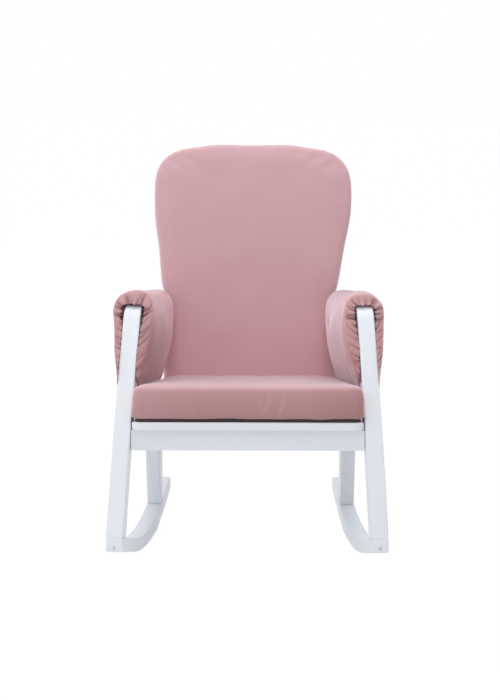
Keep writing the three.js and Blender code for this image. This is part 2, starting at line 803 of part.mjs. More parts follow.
// Rows run from the middle of the front end, round its edge, along the arm and round the
// edge of the rear end. Each is the section, pulled in by its inset.
function armPadGeometry() {
  const section = padSection();
  const middle = padHeight / 2;
  const endTurns = steps(0, Math.PI / 2, 3);
  const round = (turn) => ({
    inset: padEndRound * (1 - Math.sin(turn)), share: 1, depth: padEndRound * (1 - Math.cos(turn)),
  });
  const capShare = 0.5;
  const alongShares = [0.25, 0.5, 0.75];
  const cap = { inset: padEndRound, share: capShare, depth: 0 };
  const ending = [cap, ...endTurns.map(round)];
  const rows = [
    ...ending.map((row) => ({ ...row, end: "front" })),
    ...alongShares.map((t) => ({ inset: 0, share: 1, t })),
    ...ending.reverse().map((row) => ({ ...row, end: "rear" })),
  ];
  const behindAt = (row, up) => {
    if (row.end === "front") return padFront(up) + row.depth;
    if (row.end === "rear") return padRear(up) - row.depth;
    return padFront(up) * (1 - row.t) + padRear(up) * row.t;
  };
  const positions = [];
  const vertex = (row, x, height) => {
    const shrink = (value, half) => value * (1 - row.inset / half) * row.share;
    const across = shrink(x, padOuterBulge);
    const above = middle + shrink(height - middle, middle);
    let up = padBottom(bendStart[0]) + above;
    let behind = bendStart[0];
    for (let i = 0; i < 12; i++) {
      behind = behindAt(row, up);
      up = padBottom(behind) + above;
    }
    positions.push(across, behind, up);
  };
  for (const row of rows) for (const [x, height] of section) vertex(row, x, height);
  vertex(rows[0], 0, middle);
  vertex(rows[rows.length - 1], 0, middle);
  const n = section.length;
  const front = rows.length * n;
  const rear = front + 1;
  const index = [];
  for (let k = 0; k < n; k++) {
    const next = (k + 1) % n;
    index.push(front, k, next);
    index.push(rear, (rows.length - 1) * n + next, (rows.length - 1) * n + k);
    for (let r = 0; r + 1 < rows.length; r++) {
      const a = r * n;
      const b = a + n;
      index.push(a + k, b + next, a + next, a + k, b + k, b + next);
    }
  }
  const whole = new THREE.BufferGeometry()
    .setAttribute("position", new THREE.Float32BufferAttribute(positions, 3))
    .setIndex(index);
  const channel = alongX(plate(legArmOutline(padFit), timberWidth + 2 * padFit, 0));
  return cut(whole, [channel]);
}

// Seat pieces, on the seat plane: [across, behind the board's front edge, up from its face]

function acrossOutline(front, rear, gap, width = timberWidth) {
  const half = (behind) => innerHalfWidth(seatFront + behind * Math.cos(slope), width) - gap;
  return [[-half(front), front], [half(front), front], [half(rear), rear], [-half(rear), rear]];
}

function boardGeometry() {
  const radius = boardCornerRadius;
  const outline = roundedOutline(
    acrossOutline(0, boardLength, boardSideGap), [radius, radius, boardRearCorner, boardRearCorner], 0, 1, 5,
  );
  return plate(outline, boardThickness, arrisRadius).translate(0, 0, -boardThickness / 2);
}

function railGeometry(place, name, legWidth) {
  const under = -boardThickness - jointGap;
  const outline = acrossOutline(place, place + railThickness, railEndGap, legWidth);
  const rail = plate(outline, railDepth, 0).translate(0, 0, under - railDepth / 2);
  const nuts = [nutHole(name), mirrored(nutHole(name))];
  const clear = alongX(plate(sideRailOutline(jointGap), sideRailWidth + 2 * jointGap, 0));
  const side = shifted(clear.translate(sideRailAcross, 0, 0), sideMatrix);
  const sides = [shifted(side.clone(), into(seatMatrix)), shifted(mirrored(side), into(seatMatrix))];
  return cut(rail, [...holesIn(seatMatrix, name), ...nuts, ...sides]);
}

function cushionOutline(inset) {
  const front = inset - cushionFrontLip;
  const rear = cushionRearFoot - inset;
  return roundedOutline(
    acrossOutline(front, rear, cushionSideGap + inset),
    [cushionFrontCorner, cushionFrontCorner, cushionRearCorner, cushionRearCorner],
    cushionDraw,
  );
}

// The cushion's rear face leans back with the chair's back.
const backLineOnSeat = moved([0, 0, 0], backMatrix, into(seatMatrix));
const cushionRearLean = recline - slope;
const cushionRearFoot =
  backLineOnSeat[1] - backLineOnSeat[2] * Math.tan(cushionRearLean) - cushionBackGap;
const leanOnSeat = (behind, up) => {
  const share = Math.max(0, behind / cushionRearFoot);
  return behind + up * Math.tan(cushionRearLean) * share ** 4;
};

const cushionGeometry = () => pad({
  outline: cushionOutline(0),
  centre: [0, cushionRearFoot / 2],
  thickness: cushionThickness,
  edge: cushionEdgeRadius,
  crown: cushionCrown,
  belly: cushionBelly,
  place: (x, behind, level) => {
    const up = cushionBaseThickness + jointGap + level;
    return [x, leanOnSeat(behind, up), up];
  },
});

function cushionBaseGeometry() {
  const flat = plate(cushionOutline(cushionBaseInset), cushionBaseThickness - jointGap, 0);
  return flat.translate(0, 0, (cushionBaseThickness + jointGap) / 2);
}

// Back pieces, on its front face: [across, in from the face, up from its starting line]

const backPoint = (x, y) => new THREE.Vector2(x, y);
const flareShares = { low: 0.55, high: 0.35, lean: 0.08 };
const sideShares = { low: 0.33, high: 0.42, lean: 0.05 };
const shoulderShare = 0.9;

function backHalfOutline() {
  const waist = backPoint(backHalfWidthWaist, backWaistRise);
  const arms = backPoint(backHalfWidthArms, backArmsRise);
  const shoulder = backPoint(backHalfWidthShoulder, backShoulderRise);
  const flare = backArmsRise - backWaistRise;
  const upper = backShoulderRise - backArmsRise;
  const low = new THREE.CubicBezierCurve(
    backPoint(backHalfWidthFoot, -backBelow + backFootCorner),
    backPoint(backHalfWidthFoot, backWaistRise / 2),
    backPoint(backHalfWidthWaist, backWaistRise - flare / 2),
    waist,
  );
  const middle = new THREE.CubicBezierCurve(
    waist,
    backPoint(backHalfWidthWaist, backWaistRise + flare * flareShares.low),
    backPoint(backHalfWidthArms - flare * flareShares.lean, backArmsRise - flare * flareShares.high),
    arms,
  );
  const high = new THREE.CubicBezierCurve(
    arms,
    backPoint(backHalfWidthArms + upper * sideShares.lean, backArmsRise + upper * sideShares.low),
    backPoint(backHalfWidthShoulder, backShoulderRise - upper * sideShares.high),
    shoulder,
  );
  const corner = new THREE.CubicBezierCurve(
    shoulder,
    backPoint(backHalfWidthShoulder, backShoulderRise + backCornerPull),
    backPoint(backHalfWidthShoulder * shoulderShare, backHeight),
    backPoint(backTopHalfFlat, backHeight),
  );
  const points = [];
  const foot = [backHalfWidthFoot - backFootCorner, -backBelow + backFootCorner];
  const footTurns = steps(-Math.PI / 2, 0, 4).slice(0, -1);
  for (const turn of footTurns) {
    points.push(plus(foot, times([Math.cos(turn), Math.sin(turn)], backFootCorner)));
  }
  const sample = (curve, count) => {
    for (const t of steps(0, 1, count).slice(0, -1)) points.push(curve.getPoint(t).toArray());
  };
  sample(low, 4);
  sample(middle, 3);
  sample(high, 5);
  sample(corner, 8);
  const archShare = 0.75;
  points.push([backTopHalfFlat, backHeight]);
  points.push([backTopHalfFlat / 2, backHeight + backTopArch * archShare]);
  return points;
}

function backOutline() {
  const half = backHalfOutline();
  const foot = [[0, -backBelow], [backHalfWidthFoot / 2, -backBelow]];
  const right = [...foot, ...half];
  const left = right.slice(1).map(([x, y]) => [-x, y]).reverse();
  return [...right, [0, backHeight + backTopArch], ...left];
}

const pocketHalf = stileOuter + pocketGap;
const block = (x0, x1, y0, y1, z0, z1) =>
  new THREE.BoxGeometry(x1 - x0, y1 - y0, z1 - z0)
    .translate((x0 + x1) / 2, (y0 + y1) / 2, (z0 + z1) / 2);

function backCushionGeometry() {
  const form = pad({
    outline: backOutline(),
    centre: [0, (backHeight - backBelow) / 2],
    thickness: backBorderDepth,
    edge: backEdgeRadius,
    crown: backCrown,
    belly: backBelly,
    place: (x, rise, level) => [x, backBorderDepth - level, rise],
  });
  const pocket = block(
    -pocketHalf, pocketHalf,
    backPadDepth - jointGap, backBorderDepth + overrun,
    -backBelow - overrun, stileTop + pocketGap,
  );
  const bore = aim(
    rod(spacerRadius + boltFit, armBoltLength),
    [outerFace, armBolt.place[1], armBolt.place[2]], inward,
  );
  const bores = [shifted(bore, sideMatrix)];
  bores.push(mirrored(bores[0]));
  return cut(form, [pocket, ...bores.map((g) => shifted(g, into(backMatrix)))]);
}

function backRearGeometry() {
  const outline = backOutline();
  const middle = [0, (backHeight - backBelow) / 2];
  return pad({
    outline: outline.map(([x, y]) => [
      x - Math.sign(x) * backRearInset,
      y - Math.sign(y - middle[1]) * backRearInset,
    ]),
    centre: middle,
    thickness: backRearThickness - jointGap,
    edge: backRearThickness / 3,
    crown: 0,
    belly: 0,
    place: (x, rise, level) => [x, backBorderDepth + backRearThickness - level, rise],
  });
}

const stileHoles = (sideName) => [backHole(), ...holesIn(backMatrix, sideName).slice(0, 1)];
const stileGeometry = () => cut(
  block(
    stileOuter - stileWidth, stileOuter,
    backPadDepth, backPadDepth + stileThickness,
    -stileFoot, stileTop,
  ),
  stileHoles("arm_bolt"),
);
const backRailHalf = stileOuter - stileWidth - jointGap;
const backRailGeometry = (rise) => block(
  -backRailHalf, backRailHalf,
  backPadDepth, backPadDepth + stileThickness,
  rise - backRailDepth / 2, rise + backRailDepth / 2,
);
const backRailRises = {
  back_rail_lower: -backBelow + backRailDepth,
  back_rail_middle: backMiddleRailRise,
  back_rail_upper: stileTop - backRailDepth / 2,
};

function supportRailGeometry() {
  const low = supportRise - supportRailDepth / 2;
  const half = (depth) => {
    const [, behind] = moved([0, depth, supportRise + supportRailDepth / 2], backMatrix);
    return innerHalfWidth(behind, rearLegWidth) - railEndGap;
  };
  const rear = supportRailFront + supportRailThickness;
  const outline = [
    [-half(supportRailFront), supportRailFront], [half(supportRailFront), supportRailFront],
    [half(rear), rear], [-half(rear), rear],
  ];
  const rail = plate(outline, supportRailDepth, 0).translate(0, 0, low + supportRailDepth / 2);
  return cut(rail, [
    ...holesIn(backMatrix, "support_rail_bolt"),
    backHole(),
    mirrored(backHole()),
  ]);
}

// Spacer round the arm bolt, across the padded border, from the arm to the stile.
function spacerGeometry() {
  const start = -timberWidth / 2 - jointGap;
  const length = innerHalfWidth(armBolt.place[1]) - stileOuter - 2 * jointGap
    - 2 * spacerRadius * Math.sin(toe);
  const tube = aim(rod(spacerRadius, length), [start, armBolt.place[1], armBolt.place[2]], inward);
  return cut(tube, [sideHole("arm_bolt")]);
}

// Materials

const finish = (color, roughness, metalness = 0) =>
  new THREE.MeshStandardMaterial({ color, roughness, metalness });
const whitePaint = finish(0xe6e9ee, 0.4);
const beech = finish(0xcfa878, 0.6);
const plywoodPaint = finish(0xe2e5ea, 0.45);
const velvet = finish(0xc79aa3, 0.85);
const gripCloth = finish(0x2a2226, 0.95);
const zinc = finish(0xb9bdc2, 0.35, 1);

// Assembly

const chair = new THREE.Group();
chair.name = "rocking_chair";

function addTo(group, name, geometry, material, mirror = false) {
  const mesh = new THREE.Mesh(geometry, material);
  mesh.name = name;
  if (mirror) mesh.scale.x = -1;
  group.add(mesh);
}

const groupAt = (matrix) => {
  const group = new THREE.Group();
  group.applyMatrix4(matrix);
  return group;
};

const cleat = cleatGeometry();
const armPad = armPadGeometry();
const spacer = spacerGeometry();
for (const side of ["left", "right"]) {
  const frame = groupAt(sideMatrix);
  const half = new THREE.Group();
  if (side === "right") half.scale.x = -1;
  half.add(frame);
  chair.add(half);
  addTo(frame, `leg_and_arm_${side}`, legArm, whitePaint);
  addTo(frame, `runner_${side}`, rocker, whitePaint);
  addTo(frame, `rear_leg_${side}`, rearLeg, whitePaint);
  addTo(frame, `side_rail_${side}`, sideRail, whitePaint);
  addTo(frame, `seat_cleat_${side}`, cleat, whitePaint);
  addTo(frame, `arm_pad_${side}`, armPad, velvet);
  addTo(frame, `nose_screw_${side}`, aim(screwShape(), screwAt, screwTowards), zinc);
  addTo(frame, `back_spacer_${side}`, spacer, zinc);
  for (const [name, { at, towards, length }] of Object.entries(sideBolts)) {
    addTo(frame, `${name}_${side}`, aim(boltShape(length), at, towards), zinc);
  }
  for (const name of Object.keys(dowels)) addTo(frame, `${name}_${side}`, dowelRod(name, 0), beech);
}

const seat = groupAt(seatMatrix);
chair.add(seat);
addTo(seat, "seat_board", boardGeometry(), plywoodPaint);
addTo(seat, "front_rail", railGeometry(frontRailSetBack, "front_rail_bolt", timberWidth), whitePaint);
addTo(seat, "rear_rail", railGeometry(rearRailPlace, "rear_rail_bolt", rearLegWidth), whitePaint);
addTo(seat, "seat_cushion_base", cushionBaseGeometry(), gripCloth);
addTo(seat, "seat_cushion", cushionGeometry(), velvet);
for (const name of ["front_rail", "rear_rail"]) {
  const hole = shifted(sideHole(`${name}_bolt`), sideMatrix, into(seatMatrix));
  const nut = cut(nutShape(`${name}_bolt`), [hole]);
  addTo(seat, `${name}_nut_left`, nut, zinc);
  addTo(seat, `${name}_nut_right`, nut, zinc, true);
}

const back = groupAt(backMatrix);
chair.add(back);
addTo(back, "back_cushion", backCushionGeometry(), velvet);
addTo(back, "back_rear_cover", backRearGeometry(), velvet);
const stile = stileGeometry();
addTo(back, "back_stile_left", stile, beech);
addTo(back, "back_stile_right", stile, beech, true);
for (const [name, rise] of Object.entries(backRailRises)) {
  addTo(back, name, backRailGeometry(rise), beech);
}
addTo(back, "back_support_rail", supportRailGeometry(), whitePaint);
const backBoltGeometry = aim(boltShape(backBolt.length), backBolt.at, backBolt.towards);
addTo(back, "back_bolt_left", backBoltGeometry, zinc);
addTo(back, "back_bolt_right", backBoltGeometry, zinc, true);

// The origin is the middle of the chair's box, on the floor.
const box = new THREE.Box3().setFromObject(chair, true);
chair.position.set(-(box.min.x + box.max.x) / 2, -(box.min.y + box.max.y) / 2, -box.min.z);

export default chair;
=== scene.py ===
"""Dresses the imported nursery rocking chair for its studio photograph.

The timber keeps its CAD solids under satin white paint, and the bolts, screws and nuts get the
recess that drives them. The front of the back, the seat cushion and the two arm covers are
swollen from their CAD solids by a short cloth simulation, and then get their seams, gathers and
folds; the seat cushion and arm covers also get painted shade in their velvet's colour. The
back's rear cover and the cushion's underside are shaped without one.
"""

import json
import logging
import math
from collections.abc import Iterator
from contextlib import contextmanager
from dataclasses import dataclass, field
from enum import Enum

import bpy
import numpy as np
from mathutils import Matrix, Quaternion, Vector
from mathutils.kdtree import KDTree


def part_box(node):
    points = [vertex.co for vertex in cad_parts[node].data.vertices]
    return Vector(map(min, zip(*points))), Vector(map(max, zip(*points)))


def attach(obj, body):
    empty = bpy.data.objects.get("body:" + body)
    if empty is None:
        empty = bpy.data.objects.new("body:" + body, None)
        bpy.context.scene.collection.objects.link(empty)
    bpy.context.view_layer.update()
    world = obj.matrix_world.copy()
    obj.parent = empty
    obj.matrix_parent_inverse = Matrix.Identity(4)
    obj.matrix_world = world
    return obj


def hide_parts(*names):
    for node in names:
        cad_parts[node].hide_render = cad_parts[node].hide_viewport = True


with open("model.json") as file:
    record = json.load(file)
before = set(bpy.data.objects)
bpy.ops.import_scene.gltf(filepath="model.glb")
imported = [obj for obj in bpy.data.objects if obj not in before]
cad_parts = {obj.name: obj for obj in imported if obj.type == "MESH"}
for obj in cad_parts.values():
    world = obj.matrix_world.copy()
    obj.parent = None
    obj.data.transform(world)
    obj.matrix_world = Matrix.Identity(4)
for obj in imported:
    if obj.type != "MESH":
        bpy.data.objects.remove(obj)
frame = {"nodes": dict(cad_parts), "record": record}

logging.basicConfig(level=logging.INFO, format="%(message)s")
log = logging.getLogger("rocking_chair")

MILLIMETRE = 0.001

Colour = tuple[float, float, float]
Triple = tuple[float, float, float]
Span = tuple[float, float]
Value = float | tuple | bpy.types.NodeSocket


class Side(Enum):
    """One side of the chair, as the sitter names it."""

    LEFT = 1
    RIGHT = -1

    @property
    def word(self) -> str:
        """The side's name at the end of a node's name."""
        return self.name.lower()


class Body(Enum):
    """The bodies that pieces ride on."""

    FRAME = "chair_frame"
    CUSHION = "loose_cushion"


class Slot(Enum):
    """The record's material slots."""

    PAINT = "white_paint"
    BOARD = "white_board"
    VELVET = "velvet"
    GRIP = "grip_cloth"
    BEECH = "beech"
    ZINC = "zinc"


# Small helpers for numbers


def smooth_step(low: float, high: float, value: np.ndarray) -> np.ndarray:
    """Rises softly from 0 at low to 1 at high.

    Args:
        low: Where the rise starts.
        high: Where it ends; it may be below low, and the step then falls.
        value: The places to work out.

    Returns:
        The step at each place, from 0 to 1.
    """
    share = np.clip((value - low) / (high - low), 0.0, 1.0)
    return share * share * (3.0 - 2.0 * share)


def bell(middle: float, reach: float, value: np.ndarray) -> np.ndarray:
    """Rises softly to 1 at its middle and falls off on both sides.

    Args:
        middle: Where it is 1.
        reach: How far from there it has fallen to about a third.
        value: The places to work out.

    Returns:
        The height at each place, from 0 to 1.
    """
    return np.exp(-(((value - middle) / reach) ** 2))


def raised(floor: float, share: np.ndarray) -> np.ndarray:
    """Squeezes a share from 0 to 1 into the part above a floor.

    Args:
        floor: What 0 becomes.
        share: The share.

    Returns:
        The share from floor to 1.
    """
    return floor + (1 - floor) * share


# Small helpers for meshes


def choose(piece: bpy.types.Object) -> None:
    """Makes one object the only selected and the active one.

    Args:
        piece: The object to work on.
    """
    if bpy.context.mode != "OBJECT":
        bpy.ops.object.mode_set(mode="OBJECT")
    bpy.ops.object.select_all(action="DESELECT")
    piece.select_set(True)
    bpy.context.view_layer.objects.active = piece


@contextmanager
def edit_mode(piece: bpy.types.Object, chosen: np.ndarray | None = None) -> Iterator[None]:
    """Opens a piece in edit mode, with all or some of its faces selected, and closes it again.

    Args:
        piece: The piece.
        chosen: For each face, whether it is selected. None selects all.

    Yields:
        Nothing.
    """
    choose(piece)
    bpy.ops.object.mode_set(mode="EDIT")
    bpy.ops.mesh.select_all(action="SELECT")
    if chosen is not None:
        bpy.ops.mesh.select_mode(type="FACE")
        bpy.ops.mesh.select_all(action="DESELECT")
        bpy.ops.object.mode_set(mode="OBJECT")
        piece.data.polygons.foreach_set("select", chosen)
        bpy.ops.object.mode_set(mode="EDIT")
    yield
    bpy.ops.object.mode_set(mode="OBJECT")


def modify(piece: bpy.types.Object, kind: str, **settings) -> None:
    """Adds a modifier to a piece and applies it.

    Args:
        piece: The piece.
        kind: The modifier's kind, which also names it.
        **settings: Values for its properties.
    """
    modifier = piece.modifiers.new(kind.lower(), kind)
    for name, value in settings.items():
        setattr(modifier, name, value)
    choose(piece)
    bpy.ops.object.modifier_apply(modifier=modifier.name)


def rows_of(piece: bpy.types.Object, word: str) -> np.ndarray:
    """Reads three numbers of each of a mesh's points.

    Args:
        piece: A mesh object at the origin.
        word: Which: co for the place in metres, normal for the direction.

    Returns:
        One row of x, y and z for each point.
    """
    flat = np.empty(len(piece.data.vertices) * 3)
    piece.data.vertices.foreach_get(word, flat)
    return flat.reshape(-1, 3)


def points_of(piece: bpy.types.Object) -> np.ndarray:
    """Reads a mesh's points, one row of metres each."""
    return rows_of(piece, "co")


def normals_of(piece: bpy.types.Object) -> np.ndarray:
    """Reads a mesh's point normals, one row each."""
    return rows_of(piece, "normal")


def set_points(piece: bpy.types.Object, points: np.ndarray) -> None:
    """Writes a mesh's points back.

    Args:
        piece: A mesh object at the origin.
        points: One row of x, y and z for each point, in metres.
    """
    piece.data.vertices.foreach_set("co", points.ravel())
    piece.data.update()


def press(piece: bpy.types.Object, depth: np.ndarray) -> None:
    """Moves each point of a piece inwards along its normal.

    Args:
        piece: A mesh object at the origin.
        depth: How far, in metres, point by point; below 0 moves a point outwards.
    """
    set_points(piece, points_of(piece) - normals_of(piece) * depth[:, None])


def merged_copy(node: str, name: str) -> bpy.types.Object:
    """Copies a CAD node's mesh into a new object and joins its loose triangles.

    Args:
        node: The CAD node.
        name: The new object's name.

    Returns:
        The new object, at the origin.
    """
    mesh = frame["nodes"][node].data.copy()
    mesh.materials.clear()
    piece = bpy.data.objects.new(name, mesh)
    bpy.context.scene.collection.objects.link(piece)
    with edit_mode(piece):
        bpy.ops.mesh.remove_doubles(threshold=0.02 * MILLIMETRE)
        bpy.ops.mesh.normals_make_consistent(inside=False)
    return piece


def finished(
    piece: bpy.types.Object, body: Body, material: bpy.types.Material
) -> None:
    """Gives a new piece its finish and the body that it rides on.

    Args:
        piece: The piece, at the origin.
        body: The body that it moves with.
        material: Its finish.
    """
    piece.data.materials.clear()
    piece.data.materials.append(material)
    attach(piece, body.value)
    log.info("%s: %d faces", piece.name, len(piece.data.polygons))


def ripple(piece: bpy.types.Object, amplitude: float, length: float, seed: int) -> None:
    """Makes a padded surface slightly uneven, as foam under cloth is.

    Args:
        piece: The piece, at the origin.
        amplitude: How far the surface wanders, in metres.
        length: The usual distance between two rises, in metres.
        seed: Picks the pattern.
    """
    chance = np.random.default_rng(seed)
    points = points_of(piece)
    waves = 9
    shortest, longest = 0.7, 1.6
    height = np.zeros(len(points))
    for _ in range(waves):
        direction = chance.normal(size=3)
        direction /= np.linalg.norm(direction)
        turns = 2 * math.pi / (length * chance.uniform(shortest, longest))
        height += np.sin(points @ direction * turns + chance.uniform(0, 2 * math.pi))
    press(piece, -height * amplitude / math.sqrt(waves))


class Trait(Enum):
    """Painted shade that the velvet reads at each point: how deep in a fold or hollow, and how far
    the laid colour darkens it, partly where the pile lies down.
    """

    # Both are painted shade in the velvet's colour.
    FOLD = "fold"
    LAID = "laid"


def keep_trait(piece: bpy.types.Object, trait: Trait, values: np.ndarray) -> None:
    """Keeps a painted-shade trait of each point for the velvet's colour.

    Args:
        piece: The piece.
        trait: Which trait.
        values: From 0, none, to 1, point by point.
    """
    layers = piece.data.attributes
    layer = layers.get(trait.value) or layers.new(trait.value, "FLOAT", "POINT")
    layer.data.foreach_set("value", values.astype(np.float32))


# Node trees


class Tree:
    """A shader node tree that is filled node by node."""

    def __init__(self, tree: bpy.types.NodeTree) -> None:
        """Starts from an empty tree.

        Args:
            tree: A material's, world's or group's node tree.
        """
        self.tree = tree
        tree.nodes.clear()

    def link(self, out: bpy.types.NodeSocket, into: bpy.types.NodeSocket) -> None:
        """Joins an output to an input."""
        self.tree.links.new(out, into)

    def give(self, socket: bpy.types.NodeSocket, value: Value) -> None:
        """Gives an input a value, or joins another node's output to it.

        Args:
            socket: The input.
            value: A socket, a number, a vector or a colour of three or four numbers.
        """
        if isinstance(value, bpy.types.NodeSocket):
            self.link(value, socket)
        elif socket.type == "RGBA" and len(value) == 3:
            socket.default_value = (*value, 1.0)
        else:
            socket.default_value = value

    def add(self, kind: str, settings: dict | None = None, **inputs) -> bpy.types.Node:
        """Adds one node.

        Args:
            kind: The node's type name.
            settings: Values for the node's own properties.
            **inputs: For each input, by its name with _ for a space, a value or a socket.

        Returns:
            The new node.
        """
        node = self.tree.nodes.new(kind)
        for name, value in (settings or {}).items():
            setattr(node, name, value)
        for name, value in inputs.items():
            self.give(node.inputs[name.replace("_", " ")], value)
        return node

    def maths(self, operation: str, *values) -> bpy.types.NodeSocket:
        """Adds one Math node.

        Args:
            operation: Its operation.
            *values: Its inputs, each a number or a socket.

        Returns:
            Its output.
        """
        node = self.add("ShaderNodeMath", {"operation": operation})
        for socket, value in zip(node.inputs, values):
            self.give(socket, value)
        return node.outputs[0]

    def scaled(self, value: Value, share: float, start: Value) -> bpy.types.NodeSocket:
        """Takes a share of a value and adds a start to it.

        Args:
            value: The value.
            share: The share.
            start: What is added, a number or a socket.

        Returns:
            The result.
        """
        return self.maths("ADD", self.maths("MULTIPLY", value, share), start)

    def mix(self, share: Value, low: Value, high: Value) -> bpy.types.NodeSocket:
        """Mixes two colours.

        Args:
            share: How much of the second, a number or a socket.
            low: The first colour, or a socket.
            high: The second colour, or a socket.

        Returns:
            The mixed colour.
        """
        node = self.add("ShaderNodeMix", {"data_type": "RGBA"})
        for number, value in ((0, share), (6, low), (7, high)):
            self.give(node.inputs[number], value)
        return node.outputs[2]

    def layer(
        self, share: Value, under: bpy.types.Node, over: bpy.types.Node
    ) -> bpy.types.NodeSocket:
        """Lays one shader over another.

        Args:
            share: How much of the upper one shows.
            under: The lower shader's node.
            over: The upper shader's node.

        Returns:
            The mixed shader.
        """
        node = self.add("ShaderNodeMixShader")
        for socket, value in zip(node.inputs, (share, under.outputs[0], over.outputs[0])):
            self.give(socket, value)
        return node.outputs[0]


class Effects:
    """The node groups that several finishes share, each built once."""

    def __init__(self) -> None:
        """Builds the groups."""
        self.patches = self._patches()
        self.edges = self._edges()
        self.weave = self._weave()

    @staticmethod
    def _start(name: str, numbers: dict[str, float], outputs: tuple[str, ...]) -> tuple:
        """Makes an empty group with a vector input, number inputs and number outputs."""
        group = bpy.data.node_groups.new(name, "ShaderNodeTree")
        faces = group.interface
        faces.new_socket("Vector", in_out="INPUT", socket_type="NodeSocketVector")
        for word, value in numbers.items():
            socket = faces.new_socket(word, in_out="INPUT", socket_type="NodeSocketFloat")
            socket.default_value = value
        for word in outputs:
            faces.new_socket(word, in_out="OUTPUT", socket_type="NodeSocketFloat")
        tree = Tree(group)
        return group, tree, tree.add("NodeGroupInput"), tree.add("NodeGroupOutput")

    def _patches(self) -> bpy.types.NodeTree:
        """Soft uneven patches: a mask that wanders between 0 and 1."""
        group, tree, given, result = self._start(
            "soft_patches", {"Scale": 6.0, "Contrast": 1.6}, ("Mask",)
        )
        noise = tree.add(
            "ShaderNodeTexNoise", Vector=given.outputs["Vector"], Scale=given.outputs["Scale"],
            Detail=3.0, Roughness=0.55,
        )
        centred = tree.maths("SUBTRACT", noise.outputs["Fac"], 0.5)
        spread = tree.maths("MULTIPLY", centred, given.outputs["Contrast"])
        back = tree.maths("ADD", spread, 0.5)
        held = tree.maths("MINIMUM", tree.maths("MAXIMUM", back, 0.0), 1.0)
        tree.link(held, result.inputs["Mask"])
        return group

    def _edges(self) -> bpy.types.NodeTree:
        """Edge wear: a mask that is high along outer edges, broken up by noise."""
        group, tree, given, result = self._start(
            "edge_wear", {"Radius": 0.003, "Scale": 60.0}, ("Mask",)
        )
        bevel = tree.add("ShaderNodeBevel", {"samples": 6}, Radius=given.outputs["Radius"])
        geometry = tree.add("ShaderNodeNewGeometry")
        turned = tree.add("ShaderNodeVectorMath", {"operation": "DOT_PRODUCT"})
        tree.link(bevel.outputs["Normal"], turned.inputs[0])
        tree.link(geometry.outputs["True Normal"], turned.inputs[1])
        bend = tree.maths("SUBTRACT", 1.0, turned.outputs["Value"])
        noise = tree.add(
            "ShaderNodeTexNoise", Vector=given.outputs["Vector"], Scale=given.outputs["Scale"],
            Detail=4.0, Roughness=0.6,
        )
        broken = tree.maths("MULTIPLY", tree.maths("MULTIPLY", bend, 6.0), noise.outputs["Fac"])
        tree.link(tree.maths("MINIMUM", broken, 1.0), result.inputs["Mask"])
        return group

    def _weave(self) -> bpy.types.NodeTree:
        """A fine cloth ground: the height of crossing threads with uneven yarn."""
        group, tree, given, result = self._start(
            "cloth_ground", {"Threads": 900.0, "Unevenness": 0.3}, ("Height",)
        )
        parts = tree.add("ShaderNodeSeparateXYZ", Vector=given.outputs["Vector"])
        waves = []
        for first, second in (("X", "Z"), ("Y", "Z")):
            total = tree.maths("ADD", parts.outputs[first], parts.outputs[second])
            turn = tree.maths("MULTIPLY", total, given.outputs["Threads"])
            waves.append(tree.maths("SINE", turn))
        crossed = tree.maths("MULTIPLY", waves[0], waves[1])
        noise = tree.add(
            "ShaderNodeTexNoise", Vector=given.outputs["Vector"], Scale=given.outputs["Threads"],
            Detail=2.0,
        )
        uneven = tree.maths("MULTIPLY", noise.outputs["Fac"], given.outputs["Unevenness"])
        height = tree.scaled(crossed, 0.5, uneven)
        tree.link(height, result.inputs["Height"])
        return group


EFFECTS = Effects()


@dataclass(frozen=True)
class Finish:
    """A finish that is one Principled surface, filled in by its kinds."""

    name: str
    colour: Colour

    def material(self) -> bpy.types.Material:
        """Builds the material.

        Returns:
            The material, with its procedural nodes.
        """
        material = bpy.data.materials.new(self.name)
        material.use_nodes = True
        tree = Tree(material.node_tree)
        where = tree.add("ShaderNodeTexCoord").outputs["Object"]
        surface = tree.add("ShaderNodeBsdfPrincipled")
        self.fill(tree, where, surface)
        tree.add("ShaderNodeOutputMaterial", Surface=surface.outputs["BSDF"])
        return material

    def fill(self, tree: Tree, where: bpy.types.NodeSocket, surface: bpy.types.Node) -> None:
        """Sets the surface's sockets.

        Args:
            tree: The material's tree.
            where: Object coordinates.
            surface: The Principled node.
        """
        raise NotImplementedError

    def times(self, share: float) -> Colour:
        """The finish's colour, darkened to a share."""
        return tuple(value * share for value in self.colour)

    @staticmethod
    def group(
        tree: Tree, group: bpy.types.NodeTree, where: bpy.types.NodeSocket, **inputs
    ) -> bpy.types.Node:
        """Places a shared effect with its own values.

        Args:
            tree: The material's tree.
            group: The effect.
            where: The coordinates that it reads.
            **inputs: Its numbers.

        Returns:
            The group node.
        """
        return tree.add("ShaderNodeGroup", {"node_tree": group}, Vector=where, **inputs)

    @staticmethod
    def bump(
        tree: Tree, height: bpy.types.NodeSocket, distance: float, strength: float,
        under: bpy.types.NodeSocket | None = None,
    ) -> bpy.types.NodeSocket:
        """Adds a bump, on top of another one if there is one.

        Args:
            tree: The material's tree.
            height: The height socket.
            distance: How high 1 is, in metres.
            strength: Its share.
            under: The normal below, or None.

        Returns:
            The normal socket.
        """
        node = tree.add("ShaderNodeBump", Height=height, Distance=distance, Strength=strength)
        if under is not None:
            tree.link(under, node.inputs["Normal"])
        return node.outputs["Normal"]


